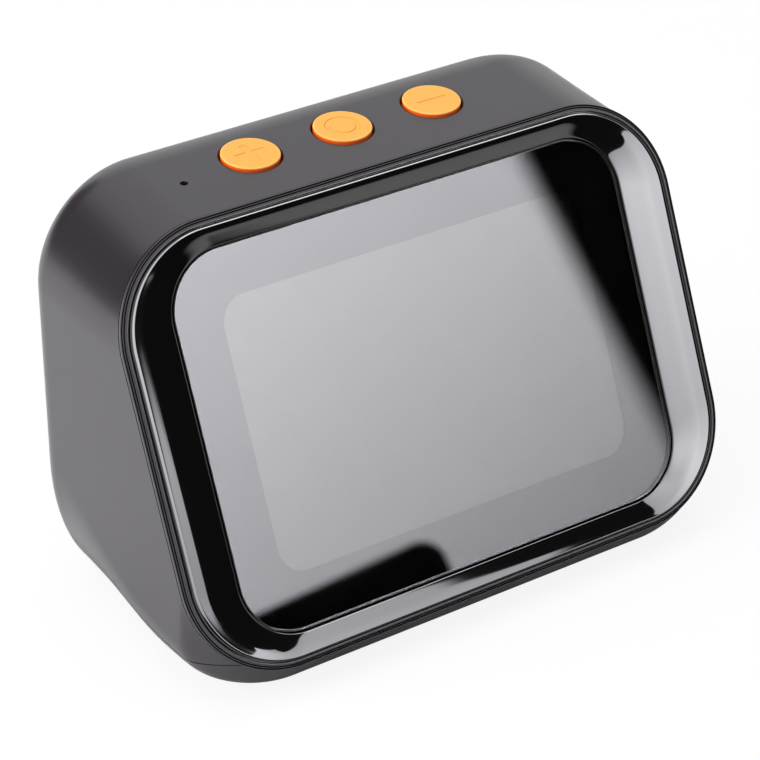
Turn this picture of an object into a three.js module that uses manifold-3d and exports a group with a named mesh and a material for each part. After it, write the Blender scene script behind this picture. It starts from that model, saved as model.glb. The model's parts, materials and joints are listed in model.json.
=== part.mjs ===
// Smart speaker clock: a leaning touch-glass front in a moulded housing with three top buttons,
// a rear-firing loudspeaker and a separate base cover.
import * as THREE from 'three';
import { mergeVertices } from 'three/addons/utils/BufferGeometryUtils.js';
import Module from 'manifold-3d';

const wasm = await Module();
wasm.setup();

// Driving dimensions in millimetres and degrees.
// The display drives the front: the glass window goes round it, and the bezel and frame round that.
const panel = { width: 80, height: 53.6, corner: 1, thickness: 1.2 };
const windowBorder = { side: 6, end: 7 };
const bezelBorder = { side: 10.4, end: 5.3 };
const windowWidth = panel.width + 2 * windowBorder.side;
const windowHeight = panel.height + 2 * windowBorder.end;
const windowCorner = 11;

// Housing, measured from the centre of the leaning front outline.
const housingWidth = windowWidth + 2 * bezelBorder.side;
const frontHeight = windowHeight + 2 * bezelBorder.end;
const frontCorner = 19;
const frontLean = 23.6;
const topSlope = 4.1;
const topCorner = 19.2;
const rearDistance = 48.6;
const rearFillet = 12;
const rearSide = 24;
const chinHeight = 5.2;
const floorRise = 10.3;
const partingRise = 8.6;
const wall = 2.2;
const chinWall = 1.2;
const chinSetback = 5.6;
const chinLean = 2.2;
const chinCorner = { reach: 19, rise: 12 };
const sideCorner = { reach: 12.1, rise: 12.7 };
const heelCorner = { reach: 11, rise: 24 };
const heelShrink = 0.6;
const sideShare = 0.25;
const topLead = 2.1;

// Clearances: between fitted pieces, at the fine front joints and round screws.
const fit = 0.3;
const jointGap = 0.2;
const screwGap = 0.35;

// Front frame ring, with a thin bead and a shadow groove outside its sloping band.
const rimDepth = 1.45;
const bandWidth = 1.3;
const bandDrop = 0.4;
const beadWidth = 0.4;
const grooveWidth = 0.22;
const grooveDepth = 0.3;
const frameLedge = 1;
const skirtOffset = 2.6;
const skirtThickness = 0.9;
const skirtDepth = 8;

// Gloss bezel: a raised lip, a gentle crown, a steady fall and a bevel down to the glass.
const lipHeight = 0.08;
const lipShare = 0.12;
const crownShare = 0.32;
const crownFall = 0.13;
const bezelFall = 0.8;
const bevelShare = 0.95;
const bevelDepth = 0.9;
const glassLedge = 2;
const ledgeThickness = 0.9;
const bezelBossRadius = 2.6;
const bezelBossUp = 20;

// Glass, and the tray, carrier plate and main board behind the display.
const glassDepth = 0.85;
const glassThickness = 1.1;
const glassChamfer = 0.15;
const tray = { wall: 1.2, lip: 0.3, floor: 1 };
const carrier = { gap: 0.9, corner: 13.4, thickness: 1.6, notch: 3.6 };
const boardPost = { radius: 2.5, length: 5 };
const board = { width: 66, height: 38, corner: 2, thickness: 1.6, flexGap: 1, holeInset: 4 };
const can = { width: 30, height: 20, thickness: 2.6, x: -8, up: 3 };
const flexWidth = 16;
const flexThickness = 0.3;
const flexSocket = { height: 4.5, thickness: 2, up: 3.5 };

// Top buttons, in the plane of the sloping top.
const buttonInset = 18.85;
const buttonPitch = 18.75;
const cap = { radius: 5.2, proud: 0.55, rim: 0.45, stem: 2.2, stemLength: 1.25 };
const capFlange = { radius: 6.1, below: 0.45, thickness: 0.9 };
const travel = 0.5;
const switchBody = { size: 6, height: 3.6 };
const plunger = { radius: 1.7, above: 0.9, below: 1.4 };
const buttonBoard = { left: 43, right: 33, depth: 16, corner: 1.5, thickness: 1.6 };
const buttonPost = { radius: 2.6, beside: 9.8, y: 4.2 };
const microphone = { x: -33.2, y: -2.2, hole: 0.7, radius: 2, height: 1.6, boot: 2.8 };

// Rear loudspeaker, on an axis square to the rear wall.
const speakerHeight = 1.5;
const speakerFlange = { size: 41, corner: 5, thickness: 1, hole: 16.2, screw: 16.6 };
const speakerBoss = { radius: 3, length: 3.6 };
const gasketWidth = 1.7;
const coneRadius = 14.9;
const neckRadius = 6.9;
const coneDepth = 5.4;
const coneThickness = 0.6;
const excursion = 0.5;
const suspension = 0.5;
const rollHeight = 1.1;
const formerOuter = 6.6;
const formerInner = 6;
const formerLength = 6;
const spiderRadius = 12.4;
const poleRadius = 5.3;
const plateHole = 7.7;
const plateRadius = 15;
const plateThickness = 2;
const magnet = { inner: 8.6, outer: 16.5, thickness: 5 };
const basketWindows = 4;
const slot = { width: 2.2, pitch: 4.1, count: 9, field: 18.4 };

// Charging inlet in the rear wall.
const inlet = { height: -27, width: 11.4, tall: 5.4 };
const socket = { width: 9, tall: 3.3, depth: 7.4, wall: 0.3, tongue: 6.6, tongueTall: 0.7 };
const socketBoard = { width: 24, depth: 15, corner: 1.5, thickness: 1.2, holeX: 8.6, holeInset: 3.6 };
const socketPost = 2.6;

// Base cover, its feet and screws.
const footDepth = 7.2;
const footThickness = 1.3;
const footProud = 0.6;
const footFront = { y: -2.6, width: 66 };
const footRear = { y: 27.5, width: 52 };
const baseBoss = { radius: 3.5, pad: 1.6, top: 13, ribThickness: 2 };
const frontScrews = { inset: 15.4, y: 6.5 };
const rearScrews = { inset: 20.4, y: 27.5 };
const screw = { shank: 1.1, head: 2.3, headHeight: 1.7, bite: 4 };

// Leads between the boards, each standing up a little from where it is soldered on.
const leadRadius = 0.9;
const leadRise = 5;
const speakerSocket = { inset: 9, up: -2 };
const buttonSocket = { boardInset: 7, inset: 5, up: 13 };
const powerSocket = { from: 4, inset: 15, up: -13 };

// Facet counts.
const cornerSteps = 6;
const roundSides = 20;
const screwSides = 10;
const chinSteps = 5;
const bellySteps = 6;
const rearSteps = 6;

// Finishes.
const finish = (color, roughness, metalness = 0) =>
  new THREE.MeshStandardMaterial({ color, roughness, metalness });
const mattePlastic = finish(0x5f5c61, 0.55);
const glossBlack = finish(0x0b0b0d, 0.08);
const orangePlastic = finish(0xf9a13c, 0.45);
const coverGlass = finish(0x9a9ba0, 0.05);
const displayGrey = finish(0xb4b3b2, 0.3);
const trayWhite = finish(0xd8d8d6, 0.5);
const innerBlack = finish(0x242427, 0.6);
const boardGreen = finish(0x1d5a3a, 0.5);
const chipBlack = finish(0x17171a, 0.5);
const steel = finish(0xb9bbbe, 0.35, 0.9);
const darkSteel = finish(0x55585c, 0.4, 0.9);
const ferrite = finish(0x2a2a2d, 0.7, 0.3);
const paperBlack = finish(0x202022, 0.9);
const rubber = finish(0x1c1c1d, 0.9);
const copper = finish(0xb87333, 0.35, 0.9);
const amber = finish(0xc98f3a, 0.6);

const { lerp: mix, degToRad, smoothstep } = THREE.MathUtils;
const lean = degToRad(frontLean);
const slope = degToRad(topSlope);
const halfWidth = housingWidth / 2;
const halfHeight = frontHeight / 2;
const floorDrop = halfHeight * Math.cos(lean) + rimDepth * Math.sin(lean) + chinHeight;
const partingDrop = floorDrop - partingRise;
const screwHole = screw.shank + screwGap;

// Basic solids

function outward(geometry) {
  const index = geometry.index.array;
  const corner = [new THREE.Vector3(), new THREE.Vector3(), new THREE.Vector3()];
  let volume = 0;
  for (let face = 0; face < index.length; face += 3) {
    corner.forEach((point, k) => point.fromBufferAttribute(geometry.attributes.position, index[face + k]));
    volume += corner[0].dot(corner[1].cross(corner[2]));
  }
  if (volume < 0) geometry.setIndex([...index].reverse());
  return geometry;
}

// A closed body through rings of equal count; a looped loft joins its last ring to its first.
function loft(rings, looped = false) {
  const count = rings[0].length;
  const points = rings.flat();
  const faces = [];
  const spans = looped ? rings.length : rings.length - 1;
  for (let ring = 0; ring < spans; ring += 1) {
    const here = ring * count;
    const next = ((ring + 1) % rings.length) * count;
    for (let k = 0; k < count; k += 1) {
      const beside = (k + 1) % count;
      faces.push(here + k, next + k, next + beside, here + k, next + beside, here + beside);
    }
  }
  if (!looped) {
    for (const [ring, turn] of [[0, 0], [rings.length - 1, 1]]) {
      const middle = rings[ring].reduce((sum, point) => sum.add(point), new THREE.Vector3());
      const hub = points.push(middle.divideScalar(count)) - 1;
      for (let k = 0; k < count; k += 1) {
        const edge = [ring * count + k, ring * count + ((k + 1) % count)];
        faces.push(hub, edge[turn], edge[1 - turn]);
      }
    }
  }
  const geometry = new THREE.BufferGeometry().setFromPoints(points);
  geometry.setIndex(faces);
  return outward(geometry);
}

function toSolid(geometry) {
  const bare = geometry.clone();
  bare.deleteAttribute('normal');
  bare.deleteAttribute('uv');
  const merged = mergeVertices(bare);
  const index = merged.index.array;
  const faces = [];
  for (let k = 0; k < index.length; k += 3) {
    const [a, b, c] = index.slice(k, k + 3);
    if (a !== b && b !== c && c !== a) faces.push(a, b, c);
  }
  return new wasm.Manifold(new wasm.Mesh({
    numProp: 3,
    vertProperties: new Float32Array(merged.attributes.position.array),
    triVerts: new Uint32Array(faces),
  }));
}

function toGeometry(solid) {
  const { vertProperties, triVerts } = solid.getMesh();
  const geometry = new THREE.BufferGeometry();
  geometry.setAttribute('position', new THREE.BufferAttribute(vertProperties, 3));
  geometry.setIndex(new THREE.BufferAttribute(triVerts, 1));
  return geometry;
}

function combine(geometry, { add = [], remove = [] }) {
  let solid = toSolid(geometry);
  for (const piece of add) solid = solid.add(toSolid(piece));
  for (const piece of remove) solid = solid.subtract(toSolid(piece));
  return toGeometry(solid);
}

function box(sizeX, sizeY, sizeZ, x = 0, y = 0, z = 0) {
  return new THREE.BoxGeometry(sizeX, sizeY, sizeZ).translate(x, y, z);
}

// A round bar between two heights of one axis, standing at a place in the plane across it.
function bar(axis, radius, from, to, [first, second], sides = roundSides) {
  const bare = new THREE.CylinderGeometry(radius, radius, Math.abs(to - from), sides);
  const middle = (from + to) / 2;
  return axis === 'y' ? bare.translate(first, middle, second)
    : bare.rotateX(Math.PI / 2).translate(first, second, middle);
}

// Equal bars at several places.
function bars(axis, radius, from, to, places, sides = screwSides) {
  return places.map((place) => bar(axis, radius, from, to, place, sides));
}

// A turned piece from a profile of radius and height pairs, about the Y or the Z axis.
function turned(axis, profile, sides = roundSides) {
  const points = profile.map(([radius, height]) => new THREE.Vector2(radius, height));
  const bare = new THREE.LatheGeometry(points, sides);
  const geometry = toGeometry(toSolid(outward(bare)));
  return axis === 'y' ? geometry : geometry.rotateX(Math.PI / 2);
}

// A turned ring: the profile closes on itself.
function turnedRing(axis, profile, sides) {
  return turned(axis, [...profile, profile[0]], sides);
}

function screwShape(axis, length) {
  const { shank, head, headHeight } = screw;
  return turned(axis, [
    [0, -length], [shank, -length], [shank, 0], [head, 0], [head * 0.8, headHeight], [0, headHeight],
  ], screwSides);
}

// One closed outline in a plane between a bottom and a top point of the side profile.
function outlineRing({ half, bottom, top, topRadius, reach, rise }) {
  const height = Math.hypot(top.y - bottom.y, top.z - bottom.z);
  const corners = [
    [half - topRadius, height - topRadius, topRadius, topRadius, 0],
    [topRadius - half, height - topRadius, topRadius, topRadius, 90],
    [reach - half, rise, reach, rise, 180],
    [half - reach, rise, reach, rise, 270],
  ];
  const ring = [];
  for (const [x, up, radiusX, radiusUp, start] of corners) {
    for (let step = 0; step <= cornerSteps; step += 1) {
      const angle = degToRad(start + (90 * step) / cornerSteps);
      const share = (up + radiusUp * Math.sin(angle)) / height;
      ring.push(new THREE.Vector3(
        x + radiusX * Math.cos(angle),
        mix(bottom.y, top.y, share),
        mix(bottom.z, top.z, share),
      ));
    }
  }
  return ring;
}

// A rounded rectangle facing along Y.
function plateRing(half, tall, radius, depth) {
  const bottom = { y: depth, z: -tall };
  const top = { y: depth, z: tall };
  return outlineRing({ half, bottom, top, topRadius: radius, reach: radius, rise: radius });
}

function uprightPlate(width, height, corner, from, to) {
  return loft([from, to].map((depth) => plateRing(width / 2, height / 2, corner, depth)));
}

// A rounded plate lying flat between two heights.
function flatPlate(width, depth, corner, from, to) {
  return uprightPlate(width, depth, corner, -to, -from).rotateX(-Math.PI / 2);
}

// Housing form

// A point of the leaning front: distance up its slope and depth behind its plane.
function frontPoint(up, depth) {
  return {
    y: up * Math.sin(lean) + depth * Math.cos(lean),
    z: up * Math.cos(lean) - depth * Math.sin(lean),
  };
}

// Side profile of the top: a sloping line that runs into the round rear edge.
function topLine(inset) {
  const edge = frontPoint(halfHeight, rimDepth);
  const fillet = rearFillet - inset;
  const centreY = rearDistance - rearFillet;
  const lineAt = (y) => edge.z + (y - edge.y) * Math.tan(slope) - inset / Math.cos(slope);
  const centreZ = lineAt(centreY) - fillet / Math.cos(slope);
  const roundFrom = centreY - fillet * Math.sin(slope);
  const arcAt = (y) => centreZ + Math.sqrt(fillet ** 2 - (y - centreY) ** 2);
  const heightAt = (y) => (y < roundFrom ? lineAt(y) : arcAt(y));
  return { fillet, centreY, centreZ, heightAt };
}

// Sections of the housing from its leaning front, under the chin and along the belly, to the rear face.
// The hollow is the same form drawn in by the wall, and starts ahead of the rim.
function housingLoft(inset, chinInset, ahead) {
  const { fillet, centreY, centreZ, heightAt } = topLine(inset);
  const half = halfWidth - inset;
  const floor = inset - floorDrop;
  const outerChin = frontPoint(-halfHeight, rimDepth);
  const chinAngle = Math.atan2(chinLean, outerChin.z + floorDrop) + lean;
  const upTop = halfHeight - inset / Math.cos(lean + slope);
  const upChin = chinInset / Math.sin(chinAngle) - halfHeight;
  const start = frontPoint(upTop, rimDepth);
  const chin = [
    frontPoint(upChin, rimDepth),
    { y: outerChin.y + chinLean + chinInset, z: floor },
    { y: outerChin.y + chinSetback, z: floor },
  ];
  const chinTop = start.y + topLead;
  const drawnIn = (corner) => ({ reach: corner.reach - inset, rise: corner.rise - inset });
  const between = (from, to, share) => {
    const blend = smoothstep(share, 0, 1);
    return drawnIn({ reach: mix(from.reach, to.reach, blend), rise: mix(from.rise, to.rise, blend) });
  };
  const frontRound = { reach: frontCorner, rise: frontCorner };
  const rings = [];
  const addRing = (bottom, topPoint, topRadius, corner, width = half) =>
    rings.push(outlineRing({ half: width, bottom, top: topPoint, topRadius, ...corner }));
  if (ahead) {
    const depth = rimDepth - ahead;
    addRing(frontPoint(upChin, depth), frontPoint(upTop, depth), frontCorner - inset, drawnIn(frontRound));
  }
  for (let step = 0; step <= chinSteps; step += 1) {
    const share = step / chinSteps;
    const weights = [(1 - share) ** 2, 2 * share * (1 - share), share ** 2];
    const along = (axis) => chin.reduce((sum, point, k) => sum + weights[k] * point[axis], 0);
    const topY = mix(start.y, chinTop, share);
    const corner = between(frontRound, chinCorner, share);
    addRing({ y: along('y'), z: along('z') }, { y: topY, z: heightAt(topY) }, frontCorner - inset, corner);
  }
  for (let step = 1; step <= bellySteps; step += 1) {
    const share = step / bellySteps;
    const topY = mix(chinTop, centreY, share);
    const corner = share < sideShare
      ? between(chinCorner, sideCorner, share / sideShare)
      : between(sideCorner, heelCorner, (share - sideShare) / (1 - sideShare));
    const topRadius = mix(frontCorner, topCorner, share) - inset;
    const bottom = { y: mix(chin[2].y, centreY, share), z: floor };
    addRing(bottom, { y: topY, z: heightAt(topY) }, topRadius, corner);
  }
  const heel = drawnIn(heelCorner);
  for (let step = 1; step <= rearSteps; step += 1) {
    const angle = (Math.PI / 2) * (step / rearSteps);
    const drawn = 1 - Math.cos(angle);
    const y = centreY + fillet * Math.sin(angle);
    const shrink = 1 - heelShrink * drawn;
    const corner = { reach: heel.reach * shrink, rise: heel.rise * shrink };
    const bottom = { y, z: floor + (floorRise - inset) * drawn };
    const topPoint = { y, z: centreZ + fillet * Math.cos(angle) };
    const sideDrawn = (rearSide - inset) * drawn;
    addRing(bottom, topPoint, topCorner - inset - fillet * drawn, corner, half - sideDrawn);
  }
  return loft(rings);
}

// Places that several pieces share

const rearInside = rearDistance - wall;
const floorInside = wall - floorDrop;
const topProfile = topLine(0);
const buttonRow = rearDistance - buttonInset;
const flangeTop = -wall - capFlange.below;
const stemEnd = flangeTop - capFlange.thickness - cap.stemLength;
const plungerTop = stemEnd - fit;
const switchTop = plungerTop - plunger.above;
const switchBottom = switchTop - switchBody.height;
const buttonBoardTop = switchBottom - fit;
const buttonBoardBottom = buttonBoardTop - buttonBoard.thickness;

const clock = new THREE.Group();
const front = new THREE.Group();
front.rotation.x = -lean;
const top = new THREE.Group();
top.position.set(0, buttonRow, topProfile.heightAt(buttonRow));
top.rotation.x = slope;
const rear = new THREE.Group();
rear.position.set(0, rearInside, speakerHeight);
clock.add(front, top, rear);
clock.updateMatrixWorld(true);

const inTop = (geometry) => geometry.applyMatrix4(top.matrixWorld);
const inRear = (geometry) => geometry.applyMatrix4(rear.matrixWorld);

function addPiece(group, name, geometry, material) {
  const mesh = new THREE.Mesh(geometry, material);
  mesh.name = name;
  group.add(mesh);
  return mesh;
}

const basePlaces = [frontScrews, rearScrews].flatMap(({ inset, y }) => [[inset - halfWidth, y], [halfWidth - inset, y]]);
const buttonPlaces = [-1, 0, 1].map((step) => step * buttonPitch);
const postPlaces = [-1, 1].map((side) => [side * (buttonPitch + buttonPost.beside), buttonPost.y]);
const corners = (x, up, centre = 0) =>
  [-1, 1].flatMap((side) => [[side * x, centre - up], [side * x, centre + up]]);
const speakerPlaces = corners(speakerFlange.screw, speakerFlange.screw);

// Housing shell

function roundedSlot(width, tall, x, z) {
  const radius = Math.min(width, tall) / 2;
  return uprightPlate(width, tall, radius, rearInside - wall, rearDistance + wall).translate(x, 0, z);
}

function grilleSlots() {
  const middle = (slot.count - 1) / 2;
  return Array.from({ length: slot.count }, (_, k) => {
    const x = (k - middle) * slot.pitch;
    const tall = 2 * Math.sqrt(slot.field ** 2 - x ** 2);
    return roundedSlot(slot.width, tall, x, speakerHeight);
  });
}

function baseColumns() {
  const from = floorInside + baseBoss.pad + fit;
  const upTo = from + baseBoss.top;
  const ribFrom = fit - partingDrop + wall;
  return basePlaces.flatMap(([x, y]) => {
    const reach = halfWidth - wall / 2 - Math.abs(x);
    const rib = box(reach, baseBoss.ribThickness, upTo - ribFrom);
    rib.translate(x + (Math.sign(x) * reach) / 2, y, (upTo + ribFrom) / 2);
    return [bar('z', baseBoss.radius, from, upTo, [x, y], screwSides), rib];
  });
}

// The hollow housing on one side of a level cut.
function housingPart(cutHeight, upward) {
  const reachAll = 3 * housingWidth;
  const keep = box(reachAll, reachAll, reachAll, 0, 0, cutHeight + (upward ? reachAll : -reachAll) / 2);
  const outer = toSolid(housingLoft(0, 0, 0));
  const inner = toSolid(housingLoft(wall, chinWall, wall));
  return toGeometry(outer.subtract(inner).intersect(toSolid(keep)));
}

function rearShell() {
  const postEnd = buttonBoardTop + fit;
  const posts = bars('z', buttonPost.radius, postEnd, -wall / 2, postPlaces);
  const postHoles = bars('z', screwHole, buttonBoardTop, -wall - fit, postPlaces);
  const bossEnd = -speakerBoss.length;
  const bosses = bars('y', speakerBoss.radius, bossEnd, wall / 2, speakerPlaces);
  const bossHoles = bars('y', screwHole, bossEnd - fit, -fit, speakerPlaces);
  const capHoles = buttonPlaces.map((x) => bar('z', cap.radius + fit, -2 * wall, wall, [x, 0]));
  const micHole = bar('z', microphone.hole, -2 * wall, wall, [microphone.x, microphone.y], screwSides);
  const columnTop = floorInside + baseBoss.pad + baseBoss.top - wall;
  const columnHoles = bars('z', screwHole, floorInside, columnTop, basePlaces);
  return combine(housingPart(-partingDrop, true), {
    add: [...posts.map(inTop), ...bosses.map(inRear), ...baseColumns()],
    remove: [
      ...[...capHoles, ...postHoles, micHole].map(inTop),
      ...bossHoles.map(inRear),
      ...columnHoles,
      ...grilleSlots(),
      roundedSlot(inlet.width, inlet.tall, 0, inlet.height),
    ],
  });
}

// Base cover and its feet

const socketBoardTop = inlet.height - socket.tall / 2 - fit;
const socketBoardBottom = socketBoardTop - socketBoard.thickness;
const socketMouth = rearInside - fit;
const socketBoardY = socketMouth - socketBoard.depth / 2 - fit;
const socketScrewY = socketMouth - socketBoard.depth + socketBoard.holeInset;
const socketHoles = [-1, 1].map((side) => [side * socketBoard.holeX, socketScrewY]);
const feet = [['front_foot', footFront], ['rear_foot', footRear]];

function baseCover() {
  const padTop = floorInside + baseBoss.pad;
  const root = floorInside - wall / 2;
  const under = -floorDrop - wall;
  const padRadius = baseBoss.radius + wall / 2;
  const headRadius = screw.head + screwGap;
  const headRoom = screw.headHeight + fit - floorDrop;
  const pads = bars('z', padRadius, root, padTop, basePlaces, roundSides);
  const through = bars('z', screwHole, under, padTop + wall, basePlaces);
  const sinks = bars('z', headRadius, under, headRoom, basePlaces, roundSides);
  const postTop = socketBoardBottom - fit;
  const posts = bars('z', socketPost, root, postTop, socketHoles);
  const postHoles = bars('z', screwHole, floorInside, socketBoardTop, socketHoles);
  const recess = footThickness - footProud + fit - floorDrop;
  const footBeds = feet.map(([, foot]) => {
    const bed = flatPlate(foot.width + 2 * fit, footDepth + 2 * fit, footDepth / 2 + fit, under, recess);
    return bed.translate(0, foot.y, 0);
  });
  return combine(housingPart(-partingDrop - jointGap, false), {
    add: [...pads, ...posts],
    remove: [...through, ...sinks, ...postHoles, ...footBeds],
  });
}

function footShape(foot) {
  const bottom = -floorDrop - footProud;
  const strip = flatPlate(foot.width, footDepth, footDepth / 2, bottom, bottom + footThickness);
  return strip.translate(0, foot.y, 0);
}

// Front frame and bezel

const rimRing = (offset, depth) =>
  plateRing(halfWidth - offset, halfHeight - offset, frontCorner - offset, depth);
const skirtInner = skirtOffset + skirtThickness;
const plugOffset = skirtInner + fit;

function frontFrame() {
  const back = rimDepth - jointGap;
  const rimFront = bandDrop;
  const bead = beadWidth;
  const groove = beadWidth + grooveWidth;
  const profile = [
    [0, back], [0, rimFront + 0.12], [0.12, rimFront],
    [bead, rimFront], [bead + 0.05, rimFront + grooveDepth], [groove, rimFront + grooveDepth],
    [groove + 0.06, bandDrop], [groove + 0.18, bandDrop - 0.12],
    [bandWidth - 0.12, 0.06], [bandWidth, 0.16], [bandWidth, frameLedge],
    [skirtInner, frameLedge], [skirtInner, skirtDepth], [skirtOffset, skirtDepth], [skirtOffset, back],
  ];
  return loft(profile.map(([offset, depth]) => rimRing(offset, depth)), true);
}

const bezelEdge = bandWidth + jointGap;
const windowHalf = windowWidth / 2;
const windowTall = windowHeight / 2;

// An outline between the bezel's outer edge, at share 0, and its window, at share 1.
function bezelRing(share, depth) {
  return plateRing(
    mix(halfWidth - bezelEdge, windowHalf, share),
    mix(halfHeight - bezelEdge, windowTall, share),
    mix(frontCorner - bezelEdge, windowCorner, share),
    depth,
  );
}

const bezelBack = frameLedge - fit;
const glassBack = glassDepth + glassThickness;
const ledgeFront = glassBack + fit;
const ledgeBack = ledgeFront + ledgeThickness;
const panelFront = glassBack + fit;
const panelBack = panelFront + panel.thickness;
const trayFloor = panelBack + fit;
const trayBack = trayFloor + tray.floor;
const carrierFront = trayBack + fit;
const carrierBack = carrierFront + carrier.thickness;
const boardFront = carrierBack + boardPost.length + fit;
const boardBack = boardFront + board.thickness;
const partsFront = boardBack + fit;
const bezelBossX = (halfWidth - plugOffset + windowHalf - glassLedge) / 2;
const carrierPlaces = corners(bezelBossX, bezelBossUp);
const carrierHalf = halfWidth - skirtInner - carrier.gap;
const carrierTall = halfHeight - skirtInner - carrier.gap;
const boardDrop = carrierTall - carrier.notch / 2 - board.flexGap - board.height / 2;
const boardPosts = corners(
  board.width / 2 - board.holeInset,
  board.height / 2 - board.holeInset,
  -boardDrop,
);
const boardScrews = boardPosts.filter(([x, up]) => x * (up + boardDrop) > 0);

function glossBezel() {
  const ledge = [windowHalf - glassLedge, windowTall - glassLedge, windowCorner - glassLedge];
  const rings = [
    bezelRing(0, bezelBack),
    bezelRing(0, 0.15),
    bezelRing(lipShare * 0.2, -lipHeight * 0.6),
    bezelRing(lipShare * 0.5, -lipHeight),
    bezelRing(lipShare, lipHeight * 0.4),
    bezelRing(crownShare, crownFall),
    bezelRing(bevelShare, bezelFall),
    bezelRing(1, bevelDepth),
    bezelRing(1, ledgeFront),
    plateRing(...ledge, ledgeFront),
    plateRing(...ledge, ledgeBack),
    rimRing(plugOffset, ledgeBack),
    rimRing(plugOffset, bezelBack),
  ];
  const bossFrom = ledgeBack - ledgeThickness / 2;
  const bosses = bars('y', bezelBossRadius, bossFrom, carrierFront - fit, carrierPlaces);
  const holes = bars('y', screwHole, ledgeFront, carrierFront, carrierPlaces);
  return combine(loft(rings, true), { add: bosses, remove: holes });
}

function glassPlate() {
  const edge = (inset, depth) =>
    plateRing(windowHalf - fit - inset, windowTall - fit - inset, windowCorner - fit - inset, depth);
  return loft([edge(glassChamfer, glassDepth), edge(0, glassDepth + glassChamfer), edge(0, glassBack)]);
}

// The backlight tray is a shallow cup round the panel.
function backlightTray() {
  const round = (grow, depth) =>
    plateRing(panel.width / 2 + grow, panel.height / 2 + grow, panel.corner + grow, depth);
  const inside = (depth) => round(fit, depth);
  const outside = (depth) => round(fit + tray.wall, depth);
  const lip = panelFront + tray.lip;
  return loft([inside(trayFloor), inside(lip), outside(lip), outside(trayBack)]);
}

function carrierPlate() {
  const plate = uprightPlate(2 * carrierHalf, 2 * carrierTall, carrier.corner, carrierFront, carrierBack);
  const middle = carrierFront + carrier.thickness / 2;
  const ahead = carrierFront - fit;
  const postEnd = carrierBack + boardPost.length;
  const posts = bars('y', boardPost.radius, middle, postEnd, boardPosts);
  const postHoles = bars('y', screwHole, ahead, boardFront, boardScrews);
  const plateHoles = bars('y', screwHole, ahead, carrierBack + fit, carrierPlaces);
  const notch = box(flexWidth + 4 * fit, 4 * carrier.thickness, 2 * carrier.notch);
  notch.translate(0, carrierBack, -carrierTall);
  return combine(plate, { add: posts, remove: [...postHoles, ...plateHoles, notch] });
}

function drilledBoard(plate, axis, places, from, to) {
  const holes = bars(axis, screwHole, from - fit, to + fit, places);
  return combine(plate, { remove: holes });
}

// A flat flexible strip through points of depth and height, bent in the plane across its width.
function flatStrip(points, width, thickness) {
  const bends = points.map(([y, z]) => new THREE.Vector3(0, y, z));
  const curve = new THREE.CatmullRomCurve3(bends, false, 'centripetal');
  const steps = 16;
  const rings = Array.from({ length: steps + 1 }, (_, k) => {
    const at = curve.getPoint(k / steps);
    const along = curve.getTangent(k / steps);
    const across = new THREE.Vector3(0, -along.z, along.y).multiplyScalar(thickness / 2);
    return [[-1, -1], [1, -1], [1, 1], [-1, 1]].map(([side, face]) =>
      new THREE.Vector3((side * width) / 2, at.y + face * across.y, at.z + face * across.z));
  });
  return loft(rings);
}

function displayFlex() {
  const trayEdge = -(panel.height / 2 + fit + tray.wall);
  const clear = carrier.notch / 2 - carrierTall;
  const start = (carrierFront + ledgeBack) / 2;
  const socketUp = -boardDrop - board.height / 2 + flexSocket.up;
  const end = partsFront + flexSocket.thickness / 2;
  return flatStrip([
    [start, trayEdge - fit], [start, (trayEdge + clear) / 2], [carrierBack, clear],
    [boardFront, clear], [end, clear + fit], [end, socketUp - flexSocket.height / 2 - fit],
  ], flexWidth, flexThickness);
}

// Buttons

function buttonCap() {
  const { radius, proud, rim, stem } = cap;
  const flange = capFlange.radius;
  const flangeBottom = flangeTop - capFlange.thickness;
  return turned('z', [
    [0, stemEnd], [stem, stemEnd], [stem, flangeBottom], [flange, flangeBottom], [flange, flangeTop],
    [radius, flangeTop], [radius, proud - rim], [radius - rim * 0.3, proud - rim * 0.3],
    [radius - rim, proud], [0, proud],
  ], roundSides + 4);
}

function switchHousing() {
  const { size, height } = switchBody;
  const wellFloor = switchTop - plunger.below - travel - fit;
  const shape = box(size, size, height, 0, 0, (switchTop + switchBottom) / 2);
  const well = bar('z', plunger.radius + fit, wellFloor, switchTop + fit, [0, 0], screwSides);
  return combine(shape, { remove: [well] });
}

function switchPlunger() {
  return bar('z', plunger.radius, switchTop - plunger.below, plungerTop, [0, 0], screwSides);
}

// Loudspeaker, with heights along its axis counted inward from the rear wall

const flangeFront = -speakerBoss.length - fit;
const flangeBack = flangeFront - speakerFlange.thickness;
const surroundSeat = flangeFront + excursion + fit;
const coneFront = surroundSeat - fit;
const coneBack = coneFront - coneDepth;
const formerFront = coneBack - fit;
const formerBack = formerFront - formerLength;
const spiderFront = formerFront - fit;
const spiderBack = spiderFront - suspension;
const basketLedge = spiderBack - excursion - fit;
const basketBack = basketLedge - plateThickness;
const plateFront = basketBack - fit;
const plateBack = plateFront - plateThickness;
const magnetFront = plateBack - fit;
const magnetBack = magnetFront - magnet.thickness;
const yokeFront = magnetBack - fit;
const yokeBack = yokeFront - plateThickness;

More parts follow.
